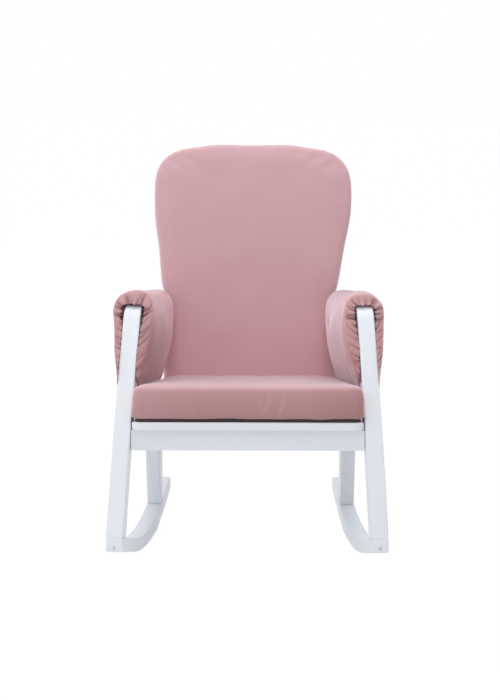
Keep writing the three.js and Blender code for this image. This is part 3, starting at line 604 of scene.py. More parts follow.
@dataclass(frozen=True)
class Velvet(Finish):
    """Short-pile velvet: the pile lies unevenly, is bright at a glance and soft in relief."""

    shade: Colour = (0.54, 0.30, 0.33)
    # The laid and depth colours are painted shade: laid on front faces and shaded sides, partly the
    # pile lying down, depth in folds and hollows.
    laid: Colour = (0.54, 0.298, 0.298)
    depth: Colour = (0.16, 0.06, 0.075)
    pile_scale: float = 7.0
    pile_share: float = 0.22
    stroke_scale: float = 45.0
    stroke_share: float = 0.10
    fold_shade_share: float = 0.85
    roughness: float = 0.78
    threads: float = 2600.0
    sheen: float = 1.0
    sheen_tint: Colour = (0.95, 0.95, 1.0)

    def fill(self, tree: Tree, where: bpy.types.NodeSocket, surface: bpy.types.Node) -> None:
        """Sets the velvet's colour with its painted shade, and its sheen and pile."""
        lie = self.group(tree, EFFECTS.patches, where, Scale=self.pile_scale, Contrast=1.4)
        strokes = self.group(tree, EFFECTS.patches, where, Scale=self.stroke_scale, Contrast=1.2)
        share = tree.maths(
            "ADD", tree.maths("MULTIPLY", lie.outputs["Mask"], self.pile_share),
            tree.maths("MULTIPLY", strokes.outputs["Mask"], self.stroke_share),
        )
        tone = tree.mix(share, self.colour, self.shade)
        # Painted shade: the laid colour, then the dark depth colour in folds and hollows.
        laid = tree.add("ShaderNodeAttribute", {"attribute_name": Trait.LAID.value})
        tone = tree.mix(laid.outputs["Fac"], tone, self.laid)
        fold = tree.add("ShaderNodeAttribute", {"attribute_name": Trait.FOLD.value})
        fold_shade = tree.maths("MULTIPLY", fold.outputs["Fac"], self.fold_shade_share)
        tree.link(tree.mix(fold_shade, tone, self.depth), surface.inputs["Base Color"])
        rough = tree.scaled(lie.outputs["Mask"], 0.1, self.roughness)
        tree.link(rough, surface.inputs["Roughness"])
        ground = self.group(tree, EFFECTS.weave, where, Threads=self.threads, Unevenness=1.0)
        fine = self.bump(tree, ground.outputs["Height"], 0.0003, 0.25)
        soft = self.bump(tree, strokes.outputs["Mask"], 0.0015, 0.15, fine)
        tree.link(soft, surface.inputs["Normal"])
        tree.give(surface.inputs["Sheen Weight"], self.sheen)
        tree.give(surface.inputs["Sheen Roughness"], 0.32)
        tree.give(surface.inputs["Sheen Tint"], self.sheen_tint)
        tree.give(surface.inputs["Specular IOR Level"], 0.25)


@dataclass(frozen=True)
class Paint(Finish):
    """Satin paint on timber: faint brushing along the grain and slightly rubbed edges."""

    worn: Colour = (0.70, 0.70, 0.70)
    roughness: float = 0.38
    uneven_tone: float = 0.95
    uneven_share: float = 0.35
    worn_share: float = 0.3
    brush_scale: Triple = (260.0, 60.0, 26.0)
    brush_share: float = 0.12

    def fill(self, tree: Tree, where: bpy.types.NodeSocket, surface: bpy.types.Node) -> None:
        """Sets the paint's colour, gloss and brush marks."""
        uneven = self.group(tree, EFFECTS.patches, where, Scale=9.0, Contrast=1.0)
        share = tree.maths("MULTIPLY", uneven.outputs["Mask"], self.uneven_share)
        tone = tree.mix(share, self.colour, self.times(self.uneven_tone))
        rubbed = self.group(tree, EFFECTS.edges, where, Radius=0.0025, Scale=70.0)
        share = tree.maths("MULTIPLY", rubbed.outputs["Mask"], self.worn_share)
        tree.link(tree.mix(share, tone, self.worn), surface.inputs["Base Color"])
        stretched = tree.add("ShaderNodeMapping", Vector=where, Scale=self.brush_scale)
        brushed = tree.add(
            "ShaderNodeTexNoise", Vector=stretched.outputs["Vector"], Scale=1.0, Detail=3.0
        ).outputs["Fac"]
        rough = tree.scaled(brushed, self.brush_share, self.roughness - self.brush_share / 2)
        tree.link(rough, surface.inputs["Roughness"])
        tree.link(self.bump(tree, brushed, 0.0004, 0.25), surface.inputs["Normal"])
        tree.give(surface.inputs["Specular IOR Level"], 0.45)


@dataclass(frozen=True)
class GripCloth(Finish):
    """Dark non-slip cloth with a coarse weave and rubber dots."""

    dot_scale: float = 160.0
    dot_size: float = 0.28
    dot_tone: float = 0.4

    def fill(self, tree: Tree, where: bpy.types.NodeSocket, surface: bpy.types.Node) -> None:
        """Sets the cloth's colour, weave and dots."""
        ground = self.group(tree, EFFECTS.weave, where, Threads=1800.0, Unevenness=0.5)
        dots = tree.add("ShaderNodeTexVoronoi", Vector=where, Scale=self.dot_scale, Randomness=0.0)
        dot = tree.maths("LESS_THAN", dots.outputs["Distance"], self.dot_size)
        tree.link(tree.mix(dot, self.colour, self.times(self.dot_tone)), surface.inputs["Base Color"])
        rough = tree.maths("SUBTRACT", 0.92, tree.maths("MULTIPLY", dot, 0.35))
        tree.link(rough, surface.inputs["Roughness"])
        under = self.bump(tree, ground.outputs["Height"], 0.0004, 0.5)
        tree.link(self.bump(tree, dot, 0.0008, 0.6, under), surface.inputs["Normal"])


@dataclass(frozen=True)
class Beech(Finish):
    """Bare beech: a straight fine grain with small dark flecks."""

    dark: Colour = (0.40, 0.25, 0.14)
    grain_scale: Triple = (140.0, 140.0, 7.0)
    fleck_size: float = 0.12

    def fill(self, tree: Tree, where: bpy.types.NodeSocket, surface: bpy.types.Node) -> None:
        """Sets the timber's grain."""
        stretched = tree.add("ShaderNodeMapping", Vector=where, Scale=self.grain_scale)
        grain = tree.add(
            "ShaderNodeTexNoise", Vector=stretched.outputs["Vector"], Scale=1.0, Detail=5.0,
            Roughness=0.6,
        ).outputs["Fac"]
        fleck = tree.add("ShaderNodeTexVoronoi", Vector=stretched.outputs["Vector"], Scale=3.0)
        dark = tree.maths("LESS_THAN", fleck.outputs["Distance"], self.fleck_size)
        share = tree.maths("MAXIMUM", tree.maths("MULTIPLY", grain, 0.5), dark)
        tree.link(tree.mix(share, self.colour, self.dark), surface.inputs["Base Color"])
        tree.link(tree.scaled(grain, 0.2, 0.5), surface.inputs["Roughness"])
        tree.link(self.bump(tree, grain, 0.0005, 0.3), surface.inputs["Normal"])


@dataclass(frozen=True)
class Zinc(Finish):
    """Zinc plated steel with cloudy roughness."""

    cloud_tone: float = 0.75
    bright: Colour = (0.8, 0.8, 0.8)

    def fill(self, tree: Tree, where: bpy.types.NodeSocket, surface: bpy.types.Node) -> None:
        """Sets the metal's clouds and worn edges."""
        clouds = self.group(tree, EFFECTS.patches, where, Scale=220.0, Contrast=1.3)
        rubbed = self.group(tree, EFFECTS.edges, where, Radius=0.0008, Scale=400.0)
        tone = tree.mix(clouds.outputs["Mask"], self.colour, self.times(self.cloud_tone))
        share = tree.maths("MULTIPLY", rubbed.outputs["Mask"], 0.5)
        tree.link(tree.mix(share, tone, self.bright), surface.inputs["Base Color"])
        tree.link(tree.scaled(clouds.outputs["Mask"], 0.25, 0.25), surface.inputs["Roughness"])
        tree.give(surface.inputs["Metallic"], 1.0)


class Palette:
    """Every finish of the chair, built once."""

    def __init__(self) -> None:
        """Builds the materials."""
        pink = (0.66, 0.408, 0.436)
        self.velvet = Velvet("dusty_pink_velvet", pink).material()
        # A copy of the velvet with less sheen, painted shade for the arm cover on the sitter's right.
        self.shade_tuned = Velvet("dusty_pink_velvet_stroked", pink, sheen=0.38).material()
        self.paint = Paint("satin_white_paint", (0.85, 0.877, 0.918)).material()
        self.board = Paint("white_painted_board", (0.85, 0.875, 0.91), roughness=0.42).material()
        self.grip = GripCloth("dark_grip_cloth", (0.05, 0.034, 0.038)).material()
        self.beech = Beech("bare_beech", (0.58, 0.39, 0.24)).material()
        self.zinc = Zinc("zinc_plate", (0.6, 0.61, 0.63)).material()

    def of(self, slot: Slot) -> bpy.types.Material:
        """The finish of a slot.

        Args:
            slot: The record's slot.

        Returns:
            Its material.
        """
        return {
            Slot.PAINT: self.paint,
            Slot.BOARD: self.board,
            Slot.VELVET: self.velvet,
            Slot.GRIP: self.grip,
            Slot.BEECH: self.beech,
            Slot.ZINC: self.zinc,
        }[slot]


# Timber and metal


@dataclass
class HardParts:
    """The CAD nodes that keep their shape: timber, board and metal."""

    weld: float = 0.02 * MILLIMETRE
    sharp_angle: float = math.radians(50)

    def dress(self, palette: Palette) -> None:
        """Gives each its finish and smooth edges.

        Args:
            palette: The chair's finishes.
        """
        for row in frame["record"]["subparts"]:
            slot = Slot(row["material_slot"])
            if slot in (Slot.VELVET, Slot.GRIP):
                continue
            node = frame["nodes"][row["node"]]
            node.data.materials.clear()
            node.data.materials.append(palette.of(slot))
            self._soften(node)
        log.info("timber, board and metal dressed")

    def _soften(self, node: bpy.types.Object) -> None:
        """Shades a node's rounded edges smoothly, by modifiers alone."""
        choose(node)
        bpy.ops.object.shade_smooth()
        weld = node.modifiers.new("join_triangles", "WELD")
        weld.merge_threshold = self.weld
        split = node.modifiers.new("keep_corners", "EDGE_SPLIT")
        split.split_angle = self.sharp_angle
        node.modifiers.new("flat_faces", "WEIGHTED_NORMAL")


@dataclass
class Fasteners:
    """Bolts, screws and barrel nuts: the CAD solids with the recess that drives them."""

    key_radius: float = 2.9 * MILLIMETRE
    key_depth: float = 2.8 * MILLIMETRE
    slot_width: float = 1.3 * MILLIMETRE
    cross_reach: float = 1.3
    slot_reach: float = 2.4
    head_depth: float = 2 * MILLIMETRE
    rim: float = 0.3 * MILLIMETRE
    rim_angle: float = math.radians(40)
    smooth_angle: float = math.radians(35)
    flat_angle: float = math.radians(1)

    def build(self, palette: Palette) -> None:
        """Cuts and dresses every fastener.

        Args:
            palette: The chair's finishes.
        """
        for row in frame["record"]["subparts"]:
            node = row["node"]
            if "_bolt_" in node or "_nut_" in node or "_screw_" in node:
                self._fastener(node, palette)

    def _fastener(self, node: str, palette: Palette) -> None:
        """Cuts one fastener's recess into the end with the wider head."""
        piece = merged_copy(node, f"{node}_driven")
        end, along, radius = self._head(points_of(piece))
        if "_bolt_" in node:
            self._hexagon(piece, end, along)
        elif "_screw_" in node:
            self._slot(piece, end, along, self.cross_reach * radius, radius, 0.0)
            self._slot(piece, end, along, self.cross_reach * radius, radius, math.pi / 2)
        else:
            self._slot(piece, end, along, self.slot_reach * radius, radius, 0.0)
        with edit_mode(piece):
            bpy.ops.mesh.dissolve_limited(angle_limit=self.flat_angle)
        modify(
            piece, "BEVEL", width=self.rim, segments=2, limit_method="ANGLE",
            angle_limit=self.rim_angle,
        )
        bpy.ops.object.shade_smooth_by_angle(angle=self.smooth_angle)
        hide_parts(node)
        finished(piece, Body.FRAME, palette.zinc)

    def _head(self, points: np.ndarray) -> tuple[Vector, Vector, float]:
        """Finds a fastener's wider end.

        Args:
            points: Its points.

        Returns:
            The end's middle, the direction out of it and its radius.
        """
        middle = (points.max(axis=0) + points.min(axis=0)) / 2
        axis = np.linalg.svd(points - points.mean(axis=0), full_matrices=False)[2][0]
        middle = points.mean(axis=0) + axis * ((middle - points.mean(axis=0)) @ axis)
        place = (points - middle) @ axis
        radius = np.linalg.norm(points - middle - place[:, None] * axis, axis=1)
        first = radius[place < place.min() + self.head_depth].max()
        last = radius[place > place.max() - self.head_depth].max()
        way = 1.0 if last >= first else -1.0
        reach = place.max() if way > 0 else -place.min()
        return Vector(middle + axis * way * reach), Vector(axis * way), float(max(first, last))

    def _hexagon(self, piece: bpy.types.Object, end: Vector, along: Vector) -> None:
        """Cuts the hexagon of a key into a head."""
        bpy.ops.mesh.primitive_cylinder_add(
            vertices=6, radius=self.key_radius, depth=2 * self.key_depth
        )
        self._cut(piece, end, along, 0.0)

    def _slot(
        self, piece: bpy.types.Object, end: Vector, along: Vector, reach: float, radius: float,
        turn: float,
    ) -> None:
        """Cuts one slot of a given length into a head."""
        bpy.ops.mesh.primitive_cube_add(size=1.0)
        bpy.context.object.scale = (reach, self.slot_width, radius)
        self._cut(piece, end, along, turn)

    @staticmethod
    def _cut(piece: bpy.types.Object, end: Vector, along: Vector, turn: float) -> None:
        """Takes the active cutter out of a piece and removes the cutter."""
        cutter = bpy.context.object
        cutter.location = end
        cutter.rotation_mode = "QUATERNION"
        cutter.rotation_quaternion = along.to_track_quat("Z", "Y")
        cutter.rotation_quaternion.rotate(Quaternion(along, turn))
        modify(piece, "BOOLEAN", operation="DIFFERENCE", object=cutter)
        bpy.data.objects.remove(cutter)


# Padded pieces


@dataclass
class Swelling:
    """An even skin of a padded piece, and the cloth simulation that fills it."""

    voxel: float = 8 * MILLIMETRE
    shrink: float = 2 * MILLIMETRE
    pressure: float = 4.0
    stiffness: float = 12.0
    bending: float = 0.6
    mass: float = 0.4
    damping: float = 3.0
    cap: float = 8 * MILLIMETRE
    last_frame: int = 20
    relax_rounds: int = 1
    settle_rounds: int = 1

    def skin(self, node: str, name: str) -> bpy.types.Object:
        """Makes an even skin of a CAD solid.

        Args:
            node: The CAD solid.
            name: The new piece's name.

        Returns:
            The skin, at the origin.
        """
        piece = merged_copy(node, name)
        modify(piece, "REMESH", mode="VOXEL", voxel_size=self.voxel, use_smooth_shade=True)
        modify(piece, "SMOOTH", iterations=self.relax_rounds)
        return piece

    def fill(self, piece: bpy.types.Object, node: str, held: np.ndarray) -> None:
        """Swells the skin by air pressure and keeps the result in its mesh.

        Args:
            piece: The skin.
            node: The CAD solid, whose size the filled piece keeps.
            held: For each point, 1 where it is fixed and 0 where it is free.
        """
        start = points_of(piece)
        press(piece, self.shrink * (1.0 - held))
        self._simulate(piece, held)
        moved = points_of(piece) - start
        length = np.linalg.norm(moved, axis=1, keepdims=True)
        kept = np.minimum(1.0, self.cap / np.maximum(length, 1e-9))
        set_points(piece, start + moved * kept)
        modify(piece, "SMOOTH", iterations=self.settle_rounds)
        modify(piece, "SUBSURF", levels=1, render_levels=1)
        self._fit(piece, node)

    @staticmethod
    def _fit(piece: bpy.types.Object, node: str) -> None:
        """Stretches the piece to the size of its CAD solid, axis by axis."""
        points = points_of(piece)
        low, high = points.min(axis=0), points.max(axis=0)
        wanted_low, wanted_high = (np.array(corner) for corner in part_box(node))
        share = (points - low) / (high - low)
        set_points(piece, wanted_low + share * (wanted_high - wanted_low))

    def _simulate(self, piece: bpy.types.Object, held: np.ndarray) -> None:
        """Runs the cloth and applies it."""
        group = piece.vertex_groups.new(name="held")
        for index in np.flatnonzero(held > 0):
            group.add([int(index)], float(held[index]), "REPLACE")
        cloth = piece.modifiers.new("filling", "CLOTH")
        settings = cloth.settings
        settings.quality = 3
        settings.mass = self.mass
        settings.tension_stiffness = self.stiffness
        settings.compression_stiffness = self.stiffness
        settings.shear_stiffness = self.stiffness / 2
        settings.bending_stiffness = self.bending
        settings.air_damping = self.damping
        settings.use_pressure = True
        settings.uniform_pressure_force = self.pressure
        settings.effector_weights.gravity = 0.0
        settings.vertex_group_mass = group.name
        cloth.collision_settings.use_collision = False
        cloth.point_cache.frame_start = 1
        cloth.point_cache.frame_end = self.last_frame
        scene = bpy.context.scene
        for number in range(1, self.last_frame + 1):
            scene.frame_set(number)
        choose(piece)
        bpy.ops.object.modifier_apply(modifier=cloth.name)
        piece.vertex_groups.clear()
        scene.frame_set(1)


@dataclass(frozen=True)
class Wrinkle:
    """One soft upright wrinkle, in metres, with its depth in millimetres."""

    place: float
    lean: float
    width: float
    deep: float

    def at(self, along: np.ndarray, height: np.ndarray) -> np.ndarray:
        """How deep the wrinkle is at each place.

        Args:
            along: Places across the wrinkle, in metres.
            height: Heights, in the unit that the lean is given for.

        Returns:
            The depth at each place, in millimetres.
        """
        return self.deep * bell(0.0, self.width, along - self.place - self.lean * height)


@dataclass
class Back:
    """The tall back: the padded front with its border, and the rear cover.

    The pairs of places are the two ends of a soft step, or the middle and reach of a bell.
    """

    swelling: Swelling = field(
        default_factory=lambda: Swelling(cap=4 * MILLIMETRE, settle_rounds=3)
    )
    panel: Swelling = field(default_factory=lambda: Swelling(voxel=3.6 * MILLIMETRE))
    border: Span = (0.15, 0.21)
    foot: Span = (0.44, 0.09)
    foot_bulge: float = 8 * MILLIMETRE
    foot_lean: float = 4 * MILLIMETRE
    waist: Span = (0.735, 0.055)
    waist_draw: float = 4 * MILLIMETRE
    lean: Span = (0.60, 0.86)
    lean_start: Span = (0.50, 0.60)
    sideways: float = 3.2 * MILLIMETRE
    crown: Span = (0.90, 0.97)
    shoulders: Span = (0.08, 0.17)
    shoulder_drop: float = 1.6
    left_shoulder: Span = (0.1, 0.2)
    left_drop: float = 0.8
    middle_rise: float = 0.8
    dome: float = 2.5 * MILLIMETRE
    hem: float = 11 * MILLIMETRE
    thread: float = 2.4 * MILLIMETRE
    thread_depth: float = 1.2 * MILLIMETRE

    def build(self, palette: Palette) -> None:
        """Makes both pieces.

        Args:
            palette: The chair's finishes.
        """
        front = self.swelling.skin("back_cushion", "back_upholstery")
        rear_facing = normals_of(front)[:, 1] > 0.6
        self.swelling.fill(front, "back_cushion", rear_facing.astype(float))
        self._shape_outline(front)
        ripple(front, amplitude=0.9 * MILLIMETRE, length=0.11, seed=3)
        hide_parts("back_cushion")
        finished(front, Body.FRAME, palette.velvet)

        rear = self.panel.skin("back_rear_cover", "back_cover_panel")
        self._topstitch(rear)
        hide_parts("back_rear_cover")
        finished(rear, Body.FRAME, palette.velvet)

    def _topstitch(self, rear: bpy.types.Object) -> None:
        """Presses a sewn line into the rear cover, all round inside its edge."""
        points = points_of(rear)
        behind = normals_of(rear)[:, 1]
        rim = np.flatnonzero(np.abs(behind) < 0.5)
        tree = KDTree(len(rim))
        for place, index in enumerate(rim):
            tree.insert(points[index], place)
        tree.balance()
        outer = np.flatnonzero(behind > 0.8)
        inwards = np.array([tree.find(points[index])[2] for index in outer])
        points[outer, 1] -= self.thread_depth * bell(self.hem, self.thread, inwards)
        set_points(rear, points)

    def _shape_outline(self, front: bpy.types.Object) -> None:
        """Gives the filled front its fuller foot, slimmer waist, domed top and slight lean."""
        points = points_of(front)
        across, up = points[:, 0].copy(), points[:, 2].copy()
        edge = smooth_step(*self.border, np.abs(across)) * np.sign(across)
        foot = bell(*self.foot, up)
        points[:, 0] += edge * (self.foot_bulge * foot - self.waist_draw * bell(*self.waist, up))
        points[:, 0] -= self.foot_lean * foot * (edge < 0)
        lean = smooth_step(*self.lean, up) * 2 - 1
        points[:, 0] += self.sideways * lean * smooth_step(*self.lean_start, up)
        drop = self.shoulder_drop * smooth_step(*self.shoulders, np.abs(across))
        drop += self.left_drop * smooth_step(*self.left_shoulder, across)
        points[:, 2] += self.dome * smooth_step(*self.crown, up) * (self.middle_rise - drop)
        set_points(front, points)


@dataclass
class SeatCushion:
    """The loose seat cushion and the non-slip cloth under it.

    The pairs of places are the two ends of a soft step: heights count from the front's bottom
    edge, except the wrinkles' ends, which are shares of the whole cushion's height.
    """

    swelling: Swelling = field(
        default_factory=lambda: Swelling(shrink=1 * MILLIMETRE, cap=2.5 * MILLIMETRE)
    )
    corner: float = 6 * MILLIMETRE
    corner_run: float = 0.08
    corner_width: Span = (0.045, 0.006)
    corner_height: Span = (0.045, 0.012)
    wrinkles: tuple[Wrinkle, ...] = (
        Wrinkle(0.046, -0.0235, 0.006, 0.7),
        Wrinkle(0.0235, 0.0325, 0.0055, 1.2),
        Wrinkle(0.0575, 0.036, 0.0055, 1.3),
        Wrinkle(0.082, 0.03, 0.006, 0.3),
        Wrinkle(-0.120, -0.03, 0.010, 0.4),
    )
    wrinkle_face: Span = (-0.5, -0.9)
    wrinkle_bend: float = 1.6 * MILLIMETRE
    wrinkle_waves: float = 13.0
    wrinkle_shift: float = 200.0
    wrinkle_foot: Span = (0.45, 0.65)
    wrinkle_head: Span = (0.97, 0.78)
    front_face: Span = (-0.05, -0.65)
    seam_height: float = 5 * MILLIMETRE
    seam_width: float = 2.2 * MILLIMETRE
    seam_depth: float = 0.8 * MILLIMETRE
    # Painted shade on the front face: lighter at the right end, the upper and lower edges and the
    # wrinkles, darker at the left end, low down and in the seam.
    right_end: Span = (-0.26, -0.12)
    right_end_shade: float = 0.7
    upper_edge: Span = (0.045, 0.08)
    upper_lit: float = 0.4
    wrinkle_lit: float = 0.28
    left_end: Span = (0.13, 0.26)
    left_end_shade: float = 0.16
    lower_half: Span = (0.058, 0.01)
    lower_shade: float = 0.17
    lower_edge: Span = (0.012, 0.003)
    edge_lit: float = 0.08
    seam_shade: float = 0.08
    wrinkle_clear: float = 0.5
    spread: float = 4 * MILLIMETRE
    soft_edge: float = 2 * MILLIMETRE

    def build(self, palette: Palette) -> None:
        """Makes the cushion and its underside.

        Args:
            palette: The chair's finishes.
        """
        cushion = self.swelling.skin("seat_cushion", "seat_cushion_filled")
        resting = normals_of(cushion)[:, 2] < -0.7
        self.swelling.fill(cushion, "seat_cushion", resting.astype(float))
        self._square_corners(cushion)
        shade_tuned = self._wrinkle(cushion)
        ripple(cushion, amplitude=0.9 * MILLIMETRE, length=0.09, seed=5)
        self._sew_front(cushion, shade_tuned)
        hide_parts("seat_cushion")
        finished(cushion, Body.CUSHION, palette.velvet)

        base = merged_copy("seat_cushion_base", "seat_cushion_underside")
        points = points_of(base)
        points[:, 0] += np.sign(points[:, 0]) * self.spread
        set_points(base, points)
        modify(base, "BEVEL", width=self.soft_edge, segments=3, limit_method="ANGLE")
        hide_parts("seat_cushion_base")
        finished(base, Body.CUSHION, palette.grip)

    def _square_corners(self, cushion: bpy.types.Object) -> None:
        """Fills the lower ends, which the swelling rounds off too much."""
        points = points_of(cushion)
        low, high = points.min(axis=0), points.max(axis=0)
        rear = points[points[:, 1] > high[1] - self.corner_run, 2].min()
        fore = points[points[:, 1] < low[1] + self.corner_run, 2].min()
        share = (high[1] - points[:, 1]) / (high[1] - low[1])
        bottom = rear + share * (fore - rear)
        start, full = self.corner_width
        end = smooth_step(high[0] - start, high[0] - full, np.abs(points[:, 0]))
        down = smooth_step(*self.corner_height, points[:, 2] - bottom)
        points[:, 0] += np.sign(points[:, 0]) * self.corner * end * down
        set_points(cushion, points)

    def _wrinkle(self, cushion: bpy.types.Object) -> np.ndarray:
        """Presses a few faint upright wrinkles into the front.

        Args:
            cushion: The filled cushion.

        Returns:
            How far each point lies in them, from 0 to 1; this eases the front's painted shade.
        """
        points = points_of(cushion)
        low, high = points.min(axis=0), points.max(axis=0)
        height = (points[:, 2] - low[2]) / (high[2] - low[2])
        pressed = np.zeros(len(points))
        for wrinkle in self.wrinkles:
            turn = self.wrinkle_waves * height + self.wrinkle_shift * wrinkle.place
            pressed += wrinkle.at(points[:, 0] - self.wrinkle_bend * np.sin(turn), height)
        pressed *= smooth_step(*self.wrinkle_foot, height) * smooth_step(*self.wrinkle_head, height)
        front = smooth_step(*self.wrinkle_face, normals_of(cushion)[:, 1])
        points[:, 1] += front * pressed * MILLIMETRE
        set_points(cushion, points)
        return np.minimum(pressed, 1.0)

    def _sew_front(self, cushion: bpy.types.Object, shade_tuned: np.ndarray) -> None:
        """Presses the front's lower seam and paints shade on the front: darker low and at the left
        end.
        """
        front = smooth_step(*self.front_face, normals_of(cushion)[:, 1])
        up = points_of(cushion)[:, 2]
        bottom = up[front > 0.9].min()
        seam = front * bell(bottom + self.seam_height, self.seam_width, up)
        press(cushion, self.seam_depth * seam)
        across, _, up = points_of(cushion).T
        up = up - up[front > 0.9].min()
        laid = raised(self.right_end_shade, smooth_step(*self.right_end, across))
        laid *= 1 - self.upper_lit * smooth_step(*self.upper_edge, up)
        keep_trait(cushion, Trait.LAID, front * laid * (1 - self.wrinkle_lit * shade_tuned))
        shaded = self.left_end_shade * smooth_step(*self.left_end, across)
        shaded += self.lower_shade * smooth_step(*self.lower_half, up)
        shaded -= self.edge_lit * smooth_step(*self.lower_edge, up)
        shaded *= front * (1 - self.wrinkle_clear * shade_tuned)
        keep_trait(cushion, Trait.FOLD, self.seam_shade * seam + shaded)


def upper_outline(points: np.ndarray) -> np.ndarray:
    """Finds the upper outline of a set of points in a plane, which bulges upwards all along.

    Args:
        points: Rows of place and height.

    Returns:
        The outline's corners, in order of place.
    """
    outline: list[np.ndarray] = []
    for point in points[np.lexsort((points[:, 1], points[:, 0]))]:
        while len(outline) > 1:
            first, last = outline[-2], outline[-1]
            ahead, step = point - first, last - first
            if ahead[0] * step[1] - ahead[1] * step[0] > 0:
                break
            outline.pop()
        outline.append(point)
    return np.array(outline)


@dataclass
class SideFrame:
    """The coordinates of one side frame, which toes in: outwards, behind and up."""

    side: Side
    toe: float = math.radians(5.75)
    lean_at_bend: float = math.radians(33.5)
    slip: float = 0.1 * MILLIMETRE
    arm_run: float = 0.1
    middle: float = field(init=False, default=0.0)
    half_width: float = field(init=False)
    outline: np.ndarray = field(init=False)
    face: np.ndarray = field(init=False)

    def __post_init__(self) -> None:
        """Reads the leg's middle plane and its front and top outline from its CAD node."""
        leg = points_of(frame["nodes"][f"leg_and_arm_{self.side.word}"])
        across = self.to_frame(leg)[:, 0]
        self.middle = (across.max() + across.min()) / 2
        self.half_width = (across.max() - across.min()) / 2
        self.outline = upper_outline(self.to_frame(leg)[:, 1:])
        run, rise = np.diff(self.outline, axis=0).T
        straight = run < rise * math.tan(self.lean_at_bend) + self.slip
        self.face = self.outline[: np.argmin(straight) + 1]

    def to_frame(self, points: np.ndarray) -> np.ndarray:
        """Gives points in the side frame's coordinates.

        Args:
            points: Rows in the chair's axes, in metres.

        Returns:
            Rows of outwards, behind and up, in metres.
        """
        cos, sin = math.cos(self.toe), math.sin(self.toe)
        across = points[:, 0] * self.side.value
        outwards = across * cos + points[:, 1] * sin - self.middle
        return np.column_stack((outwards, points[:, 1] * cos - across * sin, points[:, 2]))

    def to_chair(self, vectors: np.ndarray) -> np.ndarray:
        """Turns directions back into the chair's axes.

        Args:
            vectors: Rows of outwards, behind and up.

        Returns:
            Rows in the chair's axes.
        """
        cos, sin = math.cos(self.toe), math.sin(self.toe)
        across = vectors[:, 0] * cos - vectors[:, 1] * sin
        behind = vectors[:, 0] * sin + vectors[:, 1] * cos
        return np.column_stack((across * self.side.value, behind, vectors[:, 2]))

    def front_face(self, up: np.ndarray) -> np.ndarray:
        """Where the leg's front face lies, carried on straight past the bend.

        Args:
            up: Heights, in metres.

        Returns:
            The place behind the chair's middle at each height.
        """
        place, height = self.face[-1]
        past = place + (up - height) * math.tan(self.lean_at_bend)
        return np.where(up > height, past, np.interp(up, self.face[:, 1], self.face[:, 0]))

    def arm_top(self, behind: np.ndarray) -> np.ndarray:
        """The height of the arm's straight upper face, carried on to its front.

        Args:
            behind: Places along the frame.

        Returns:
            The height at each place.
        """
        (first, high), (last, low) = self.outline[-2:]
        return high + (behind - first) * (low - high) / (last - first)

    def opening_top(self, set_back: float) -> float:
        """The height at which the bend passes back through a cover's front plane.

        Args:
            set_back: How far the cover's front lies behind the leg's front face.

        Returns:
            The height, in metres.
        """
        steps = 200
        behind = np.linspace(self.face[-1, 0], self.face[-1, 0] + self.arm_run, steps)
        up = np.interp(behind, self.outline[:, 0], self.outline[:, 1])
        return float(up[np.argmax(behind > self.front_face(up) + set_back)])


@dataclass(frozen=True)
class Sit:
    """How one cover sits on its arm: the two are not quite alike.

    All but the last two are millimetres: how far the outer shoulder stands out, how far the inner
    side is drawn in, how wide the opening's lip is, how far it lifts off the arm and how far the
    front of its top droops. The slack says how much more the inner side moves low down, and the
    shade how much painted shade its inner side gets low down.
    """

    shoulder: float
    draw_in: float
    lip: float
    lift: float
    droop: float
    slack: float
    shade: float


SITS = {
    Side.LEFT: Sit(shoulder=6.0, draw_in=-3.5, lip=7.0, lift=-1.0, droop=6.0, slack=0.3, shade=0.2),
    Side.RIGHT: Sit(shoulder=9.0, draw_in=3.5, lip=11.0, lift=5.0, droop=0.0, slack=0.0, shade=0.42),
}


@dataclass(frozen=True)
class Crease:
    """One drawn-in line of a gathered end: its place, size and slant, and how it wanders."""

    along: float
    depth: float
    width: float
    reach: float
    slant: float
    spread: float = 45 * MILLIMETRE
    wander: float = 0.9 * MILLIMETRE
    wander_length: float = 4 * MILLIMETRE
    wander_shift: float = 900.0
    sharpness: float = 1.15

    def drawn(self, along: np.ndarray, edge: np.ndarray) -> np.ndarray:
        """How far the crease draws each place in.

        Args:
            along: Places along the opening's edge, in metres.
            edge: Their distance from the opening's edge, in metres.

        Returns:
            The depth at each place, in metres.
        """
        wide = self.width * (1 + edge / self.spread)
        wander = self.wander * np.sin(edge / self.wander_length + self.along * self.wander_shift)
        across = np.abs(along - self.along - self.slant * edge - wander) / wide
        fade = smooth_step(self.reach, 0.3 * self.reach, edge)
        return self.depth * np.exp(-(across**self.sharpness)) * fade


@dataclass(frozen=True)
class CreaseKind:
    """The ranges that one kind of crease is drawn from, in millimetres except the slant.

    The step is the way to the next crease, and for the fine kind how far each is moved aside.
    """

    depth: Span
    width: Span
    reach: Span
    slant: Span
    step: Span

    def draw(self, chance: np.random.Generator, along: float, way: int = 1) -> Crease:
        """Draws one crease.

        Args:
            chance: Where the random numbers come from.
            along: Its place along the opening's edge, in metres.
            way: 1, or -1 to slant the other way.

        Returns:
            The crease.
        """
        return Crease(
            along=along,
            depth=chance.uniform(*self.depth) * MILLIMETRE,
            width=chance.uniform(*self.width) * MILLIMETRE,
            reach=chance.uniform(*self.reach) * MILLIMETRE,
            slant=way * chance.uniform(*self.slant),
        )


FINE = CreaseKind(
    depth=(1.0, 2.8), width=(0.9, 1.5), reach=(5, 13), slant=(-0.5, 0.5), step=(-1.6, 1.6)
)
OVER_ARM = CreaseKind(
    depth=(3.0, 7.0), width=(1.5, 2.7), reach=(16, 62), slant=(-0.4, 0.4), step=(4.6, 11)
)
BESIDE_LEG = CreaseKind(
    depth=(2.0, 4.2), width=(2.2, 4.4), reach=(16, 62), slant=(0.3, 1.1), step=(9, 22)
)


